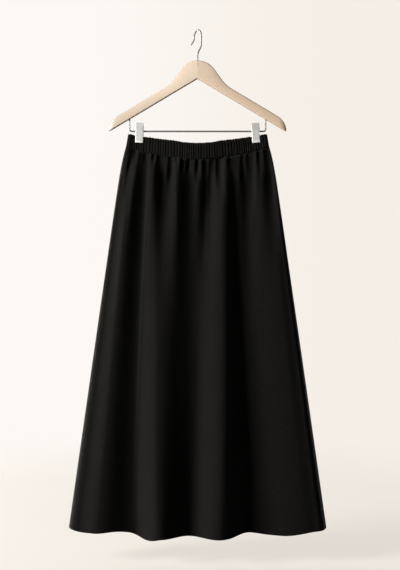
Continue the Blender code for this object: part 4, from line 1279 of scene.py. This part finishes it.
def object_place(tree):
    """Where a point lies on the object, in metres."""
    return add_node(tree, "ShaderNodeTexCoord").outputs["Object"]


def set_finish(tree, shader, share, low, high, gloss):
    """A colour and a roughness that both go from low to high with one share."""
    tree.links.new(mix_colours(tree, share, low, high), shader.inputs["Base Color"])
    tree.links.new(between(tree, share, 0.0, 1.0, *gloss), shader.inputs["Roughness"])


def bump(tree, shader, height, distance):
    """Relief: a height of 1 stands this far out."""
    inputs = {"Height": height, "Distance": distance, "Strength": 1.0}
    tree.links.new(add_node(tree, "ShaderNodeBump", inputs).outputs[0], shader.inputs["Normal"])


def crepe_material(crepe, weave, mottle):
    """Dull black crepe: dark between its pebbles, a little lighter on them."""
    material, tree, shader = start_material(crepe.name, {
        "Specular IOR Level": 0.10, "Sheen Weight": 0.05, "Sheen Roughness": 0.45,
        "Sheen Tint": (1.0, 0.98, 0.96, 1.0)})
    place = add_node(tree, "ShaderNodeUVMap", uv_map="cloth").outputs[0]
    cloth = place_group(
        tree, weave, Place=place, Thread=THREAD, Pebble=PEBBLE, Pebbling=crepe.pebbling)
    patches = place_group(tree, mottle, Place=place, Patch=CREPE_PATCH)
    shade = calculate(tree, "MULTIPLY", patches.outputs["Tone"], CREPE_PATCH_SHARE)
    pebbles = cloth.outputs["Tone"]
    share = calculate(tree, "MULTIPLY_ADD", pebbles, 1.0 - CREPE_PATCH_SHARE, shade)
    set_finish(tree, shader, share, crepe.low, crepe.high, CREPE_GLOSS)
    bump(tree, shader, cloth.outputs["Height"], CREPE_RELIEF)
    return material


def plain_material(plain, mottle):
    """Thread, or soft plastic: one even tone that changes a little in fine patches."""
    material, tree, shader = start_material(plain.name, {"Specular IOR Level": plain.specular})
    patches = place_group(tree, mottle, Place=object_place(tree), Patch=FINE_PATCH)
    set_finish(tree, shader, patches.outputs["Tone"], plain.low, plain.high, plain.gloss)
    if plain.relief:
        bump(tree, shader, patches.outputs["Tone"], plain.relief)
    return material


def beech_material(beech, side, streaks, mottle):
    """Beech under satin lacquer, with its grain along the arm, short dark flecks, and painted
    shade towards its tips and on its edges.
    """
    material, tree, shader = start_material(beech.name, {
        "Coat Roughness": 0.22, "Coat IOR": 1.48, "Specular IOR Level": 0.4})
    place = object_place(tree)
    turn = (0.0, -side * math.atan(ARM_SLOPE), side * math.atan(ARM_SWEEP))
    along = add_node(tree, "ShaderNodeMapping", {"Vector": place, "Rotation": turn}).outputs[0]
    grain = place_group(tree, streaks, Place=along, Length=GRAIN[0], Width=GRAIN[1])
    flecks = place_group(tree, streaks, Place=along, Length=FLECKS[0], Width=FLECKS[1])
    patches = place_group(tree, mottle, Place=along, Patch=BEECH_PATCH)
    share = calculate(tree, "MULTIPLY", grain.outputs["Tone"], GRAIN_SHARE)
    slow = patches.outputs["Tone"]
    share = calculate(tree, "MULTIPLY_ADD", slow, 1.0 - GRAIN_SHARE, share)
    colour = mix_colours(tree, share, beech.pale, beech.deep)
    fleck = calculate(tree, "MULTIPLY", flecks.outputs["Line"], FLECK_SHARE)
    colour = mix_colours(tree, fleck, colour, FLECK_COLOUR)
    # painted shade: the wood darkens towards the tips, where the key lamp falls more strongly
    away = add_node(tree, "ShaderNodeSeparateXYZ", {0: place}).outputs[0]
    outer = between(tree, calculate(tree, "ABSOLUTE", away), *OUTER_STEP)
    colour = mix_colours(tree, outer, colour, beech.outer, "MULTIPLY")
    # painted shade on the eased edges, top and underside, which look away from the front
    normal = add_node(tree, "ShaderNodeTexCoord").outputs["Normal"]
    facing = add_node(tree, "ShaderNodeSeparateXYZ", {0: normal}).outputs[1]
    facing = calculate(tree, "ABSOLUTE", facing)
    edge = between(tree, facing, *PAINTED_SHADE_FACING, EDGE_SHARE, 0.0)
    colour = mix_colours(tree, edge, colour, PAINTED_EDGE_SHADE, "MULTIPLY")
    tree.links.new(colour, shader.inputs["Base Color"])
    tree.links.new(between(tree, share, 0.0, 1.0, *BEECH_GLOSS), shader.inputs["Roughness"])
    tree.links.new(between(tree, share, 0.0, 1.0, *BEECH_COAT), shader.inputs["Coat Weight"])
    bump(tree, shader, grain.outputs["Tone"], GRAIN_RELIEF)
    return material


def metal_material(metal, streaks, mottle):
    """Plated steel with faint brushed lines and a slight change of gloss."""
    material, tree, shader = start_material(metal.name, {"Metallic": metal.metallic})
    place = object_place(tree)
    lines = place_group(tree, streaks, Place=place, Length=BRUSHING[0], Width=BRUSHING[1])
    patches = place_group(tree, mottle, Place=place, Patch=METAL_PATCH)
    share = calculate(tree, "MULTIPLY", lines.outputs["Tone"], patches.outputs["Tone"])
    set_finish(tree, shader, share, metal.low, metal.high, metal.gloss)
    bump(tree, shader, lines.outputs["Tone"], metal.relief)
    return material


def floor_material(mottle):
    """Pale matt floor that fades out, so that no edge of it shows."""
    material, tree, shader = start_material("pale floor", {
        "Specular IOR Level": 0.1, "Roughness": 0.9, "Emission Color": FLOOR_GLOW})
    place = object_place(tree)
    patches = place_group(tree, mottle, Place=place, Patch=FLOOR_PATCH)
    colour = mix_colours(tree, patches.outputs["Tone"], FLOOR_LOW, FLOOR_HIGH)
    tree.links.new(colour, shader.inputs["Base Color"])
    away = add_node(tree, "ShaderNodeVectorMath", {0: place}, operation="LENGTH")
    fade = between(tree, away.outputs["Value"], FLOOR_FADES_FROM, FLOOR_RADIUS, 1.0, 0.0)
    tree.links.new(fade, shader.inputs["Alpha"])
    camera_ray = add_node(tree, "ShaderNodeLightPath").outputs["Is Camera Ray"]
    glow = calculate(tree, "MULTIPLY", camera_ray, FLOOR_GLOW_STRENGTH)
    tree.links.new(glow, shader.inputs["Emission Strength"])
    return material


# ------------------------------------------------------------- light and camera
def add_lamp(lamp):
    """A soft square lamp, aimed at the skirt and not seen itself."""
    light = bpy.data.lights.new(lamp.name, "AREA")
    light.shape = "SQUARE"
    light.size = LAMP_SIZE
    light.energy = lamp.power
    light.color = LAMP_COLOUR
    item = bpy.data.objects.new(lamp.name, light)
    item.location = lamp.place
    item.visible_camera = False
    toward = Vector(LAMP_AIM) - Vector(lamp.place)
    item.rotation_euler = toward.to_track_quat("-Z", "Y").to_euler()
    bpy.context.scene.collection.objects.link(item)


def set_world():
    """A cream surround for the camera, and dim even light for the object."""
    world = bpy.data.worlds.new("studio")
    world.use_nodes = True
    bpy.context.scene.world = world
    tree = world.node_tree
    tree.nodes.clear()
    toward = add_node(tree, "ShaderNodeTexCoord").outputs["Generated"]
    rightwards = add_node(tree, "ShaderNodeSeparateXYZ", {0: toward}).outputs[0]
    share = between(tree, rightwards, *SURROUND_TURNS)
    shade = mix_colours(tree, share, SURROUND, SURROUND_RIGHT)
    seen = add_node(tree, "ShaderNodeBackground", {"Color": shade, "Strength": 1.0})
    light = add_node(tree, "ShaderNodeBackground", {"Color": FILL, "Strength": FILL_STRENGTH})
    camera_ray = add_node(tree, "ShaderNodeLightPath").outputs["Is Camera Ray"]
    mixed = add_node(
        tree, "ShaderNodeMixShader", {0: camera_ray, 1: light.outputs[0], 2: seen.outputs[0]})
    add_node(tree, "ShaderNodeOutputWorld", {"Surface": mixed.outputs[0]})


def add_camera():
    """A level camera in front of the skirt."""
    lens = bpy.data.cameras.new("camera")
    lens.lens = CAMERA_LENS
    lens.sensor_width = SENSOR
    camera = bpy.data.objects.new("camera", lens)
    camera.location = CAMERA_PLACE
    camera.rotation_euler = (math.pi / 2.0, 0.0, 0.0)
    bpy.context.scene.collection.objects.link(camera)
    bpy.context.scene.camera = camera


def add_floor(material):
    """A round floor below the hem."""
    turns = [2.0 * math.pi * k / FLOOR_SIDES for k in range(FLOOR_SIDES)]
    points = [(FLOOR_RADIUS * math.cos(a), FLOOR_RADIUS * math.sin(a), 0.0) for a in turns]
    mesh = bpy.data.meshes.new("floor")
    mesh.from_pydata(points, [], [tuple(range(FLOOR_SIDES))])
    floor = bpy.data.objects.new("floor", mesh)
    floor.location = (0.0, BAR_Y, FLOOR_Z)
    floor.data.materials.append(material)
    bpy.context.scene.collection.objects.link(floor)


def main():
    """Dresses every piece of the skirt and its hanger, then lights them."""
    weave = crepe_weave_group()
    mottle = mottle_group()
    streaks = streaks_group()

    crepe = crepe_material(PANEL_CREPE, weave, mottle)
    thread = plain_material(SEWING_THREAD, mottle)
    ruched = crepe_material(BAND_CREPE, weave, mottle)
    for layer in LAYERS:
        where = layer.word
        band = make_band(layer, ruched)
        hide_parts(f"waistband_{where}")
        panel, stitches = make_panel(layer, crepe, thread)
        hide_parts(f"skirt_{where}")

    sides = (("left", -1.0), ("right", 1.0))
    for word, side in sides:
        make_arm(word, side, beech_material(BEECHES[word], side, streaks, mottle))
    wire = metal_material(WIRE_STEEL, streaks, mottle)
    make_hook(wire)
    make_bar(wire)
    steel = metal_material(CLIP_STEEL, streaks, mottle)
    plastic = plain_material(PAD_PLASTIC, mottle)
    for word, side in sides:
        for where, facing, ear_place in zip(("front", "back"), (-1.0, 1.0), EAR_PLACES):
            make_jaw(word, side, where, facing, ear_place, steel)
            make_pad(word, side, where, facing, plastic)

    add_floor(floor_material(mottle))
    for lamp in LAMPS:
        add_lamp(lamp)
    set_world()
    add_camera()
    bpy.context.scene.view_settings.view_transform = "Standard"


main()
